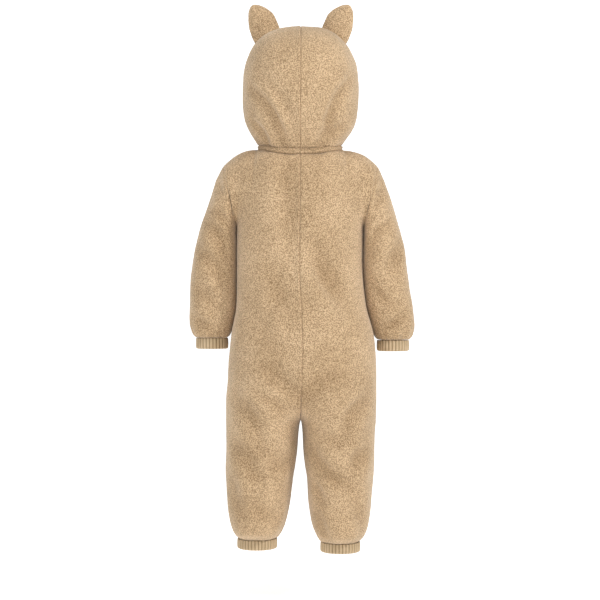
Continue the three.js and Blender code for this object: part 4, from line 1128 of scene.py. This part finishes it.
for side, word in ((LEFT, "left"), (RIGHT, "right")):
    for face, name in ((BACK, "back"), (FRONT, "front")):
        piece = body_panel(side, face, word)
        finish(piece, "plush", GARMENT, [f"{name}_{word}"])
    piece = sleeve(side, word)
    finish(piece, "plush", GARMENT, [f"sleeve_{word}"])
    piece = hood(side, word)
    finish(piece, "plush", GARMENT, [f"hood_{word}"])
    piece = ear(side, word)
    finish(piece, "plush", GARMENT, [f"ear_{word}_back", f"ear_{word}_front"])
    piece = sleeve_cuff(side, word)
    finish(piece, "rib_knit", GARMENT, [f"sleeve_cuff_{word}"])
    piece = leg_cuff(side, word)
    finish(piece, "rib_knit", GARMENT, [f"leg_cuff_{word}"])
    piece = zip_tape(side, word)
    finish(piece, "zip_tape", GARMENT, [f"zip_tape_{word}"])
finish(neck_band(), "plush", GARMENT, ["neck_band"])
finish(neck_stitches(), "plush", GARMENT, ["neck_band"])
finish(zip_chain(), "zip_teeth", GARMENT, ["zip_chain"])
finish(zip_slider(), "zip_metal", GARMENT, ["zip_slider"])
finish(zip_pull(), "zip_metal", PULL_BODY, ["zip_pull"])

# Stage, light and camera

FLOOR_Z = -0.775
WALL_Y, SWEEP_RADIUS, WALL_TOP, HALF_STAGE = -9.0, 2.0, 7.0, 9.0
SWEEP_STEPS = 16


def backdrop():
    """A pale floor that curves up far behind the garment."""
    profile = [(HALF_STAGE, FLOOR_Z)]
    for k in range(SWEEP_STEPS + 1):
        angle = k / SWEEP_STEPS * pi / 2
        y = WALL_Y + SWEEP_RADIUS * (1 - np.sin(angle))
        profile.append((y, FLOOR_Z + SWEEP_RADIUS * (1 - np.cos(angle))))
    profile.append((WALL_Y, WALL_TOP))
    made = bmesh.new()
    rows = [[made.verts.new((x, y, z)) for x in (-HALF_STAGE, HALF_STAGE)] for y, z in profile]
    for low, high in zip(rows, rows[1:]):
        made.faces.new((low[0], low[1], high[1], high[0]))
    mesh = bpy.data.meshes.new("backdrop")
    made.to_mesh(mesh)
    made.free()
    mesh.polygons.foreach_set("use_smooth", [True] * len(mesh.polygons))
    obj = bpy.data.objects.new("backdrop", mesh)
    obj.data.materials.append(stage_material())
    SCENE.collection.objects.link(obj)


LIGHT_AIM = (0, 0, -0.25)
LIGHTS = (
    # name, place, size, energy, colour
    ("key", (-2.5, 1.7, 1.7), 0.6, 57, (1.0, 0.985, 0.96)),
    ("top", (0.3, 1.5, 2.6), 1.0, 37, WHITE),
    ("fill", (2.2, 2.8, -0.4), 1.8, 19, WHITE),
)
WORLD_STRENGTH = 0.36


def area_light(name, place, size, energy, color):
    light = bpy.data.lights.new(name, "AREA")
    light.shape = "DISK"
    light.size = size
    light.energy = energy
    light.color = color
    obj = bpy.data.objects.new(name, light)
    obj.location = place
    obj.rotation_euler = (Vector(LIGHT_AIM) - Vector(place)).to_track_quat("-Z", "Y").to_euler()
    SCENE.collection.objects.link(obj)


backdrop()
for lamp in LIGHTS:
    area_light(*lamp)
world = bpy.data.worlds.new("studio")
world.use_nodes = True
world.node_tree.nodes["Background"].inputs["Color"].default_value = (1, 1, 1, 1)
world.node_tree.nodes["Background"].inputs["Strength"].default_value = WORLD_STRENGTH
SCENE.world = world
SCENE.view_settings.view_transform = "Standard"

CAMERA_DISTANCE = 3.0
CAMERA_Z = -0.256
PHOTO_WIDTH_PX, MM_PER_PX, SENSOR = 600, 1.74, 36
FRAME_WIDTH = PHOTO_WIDTH_PX * MM_PER_PX * MM
camera = bpy.data.cameras.new("camera")
camera.sensor_width = SENSOR
camera.lens = SENSOR * CAMERA_DISTANCE / FRAME_WIDTH
eye = bpy.data.objects.new("camera", camera)
eye.location = (0.0015, CAMERA_DISTANCE, CAMERA_Z)
eye.rotation_euler = (radians(90), 0, radians(180))
SCENE.collection.objects.link(eye)
SCENE.camera = eye

bpy.context.view_layer.update()
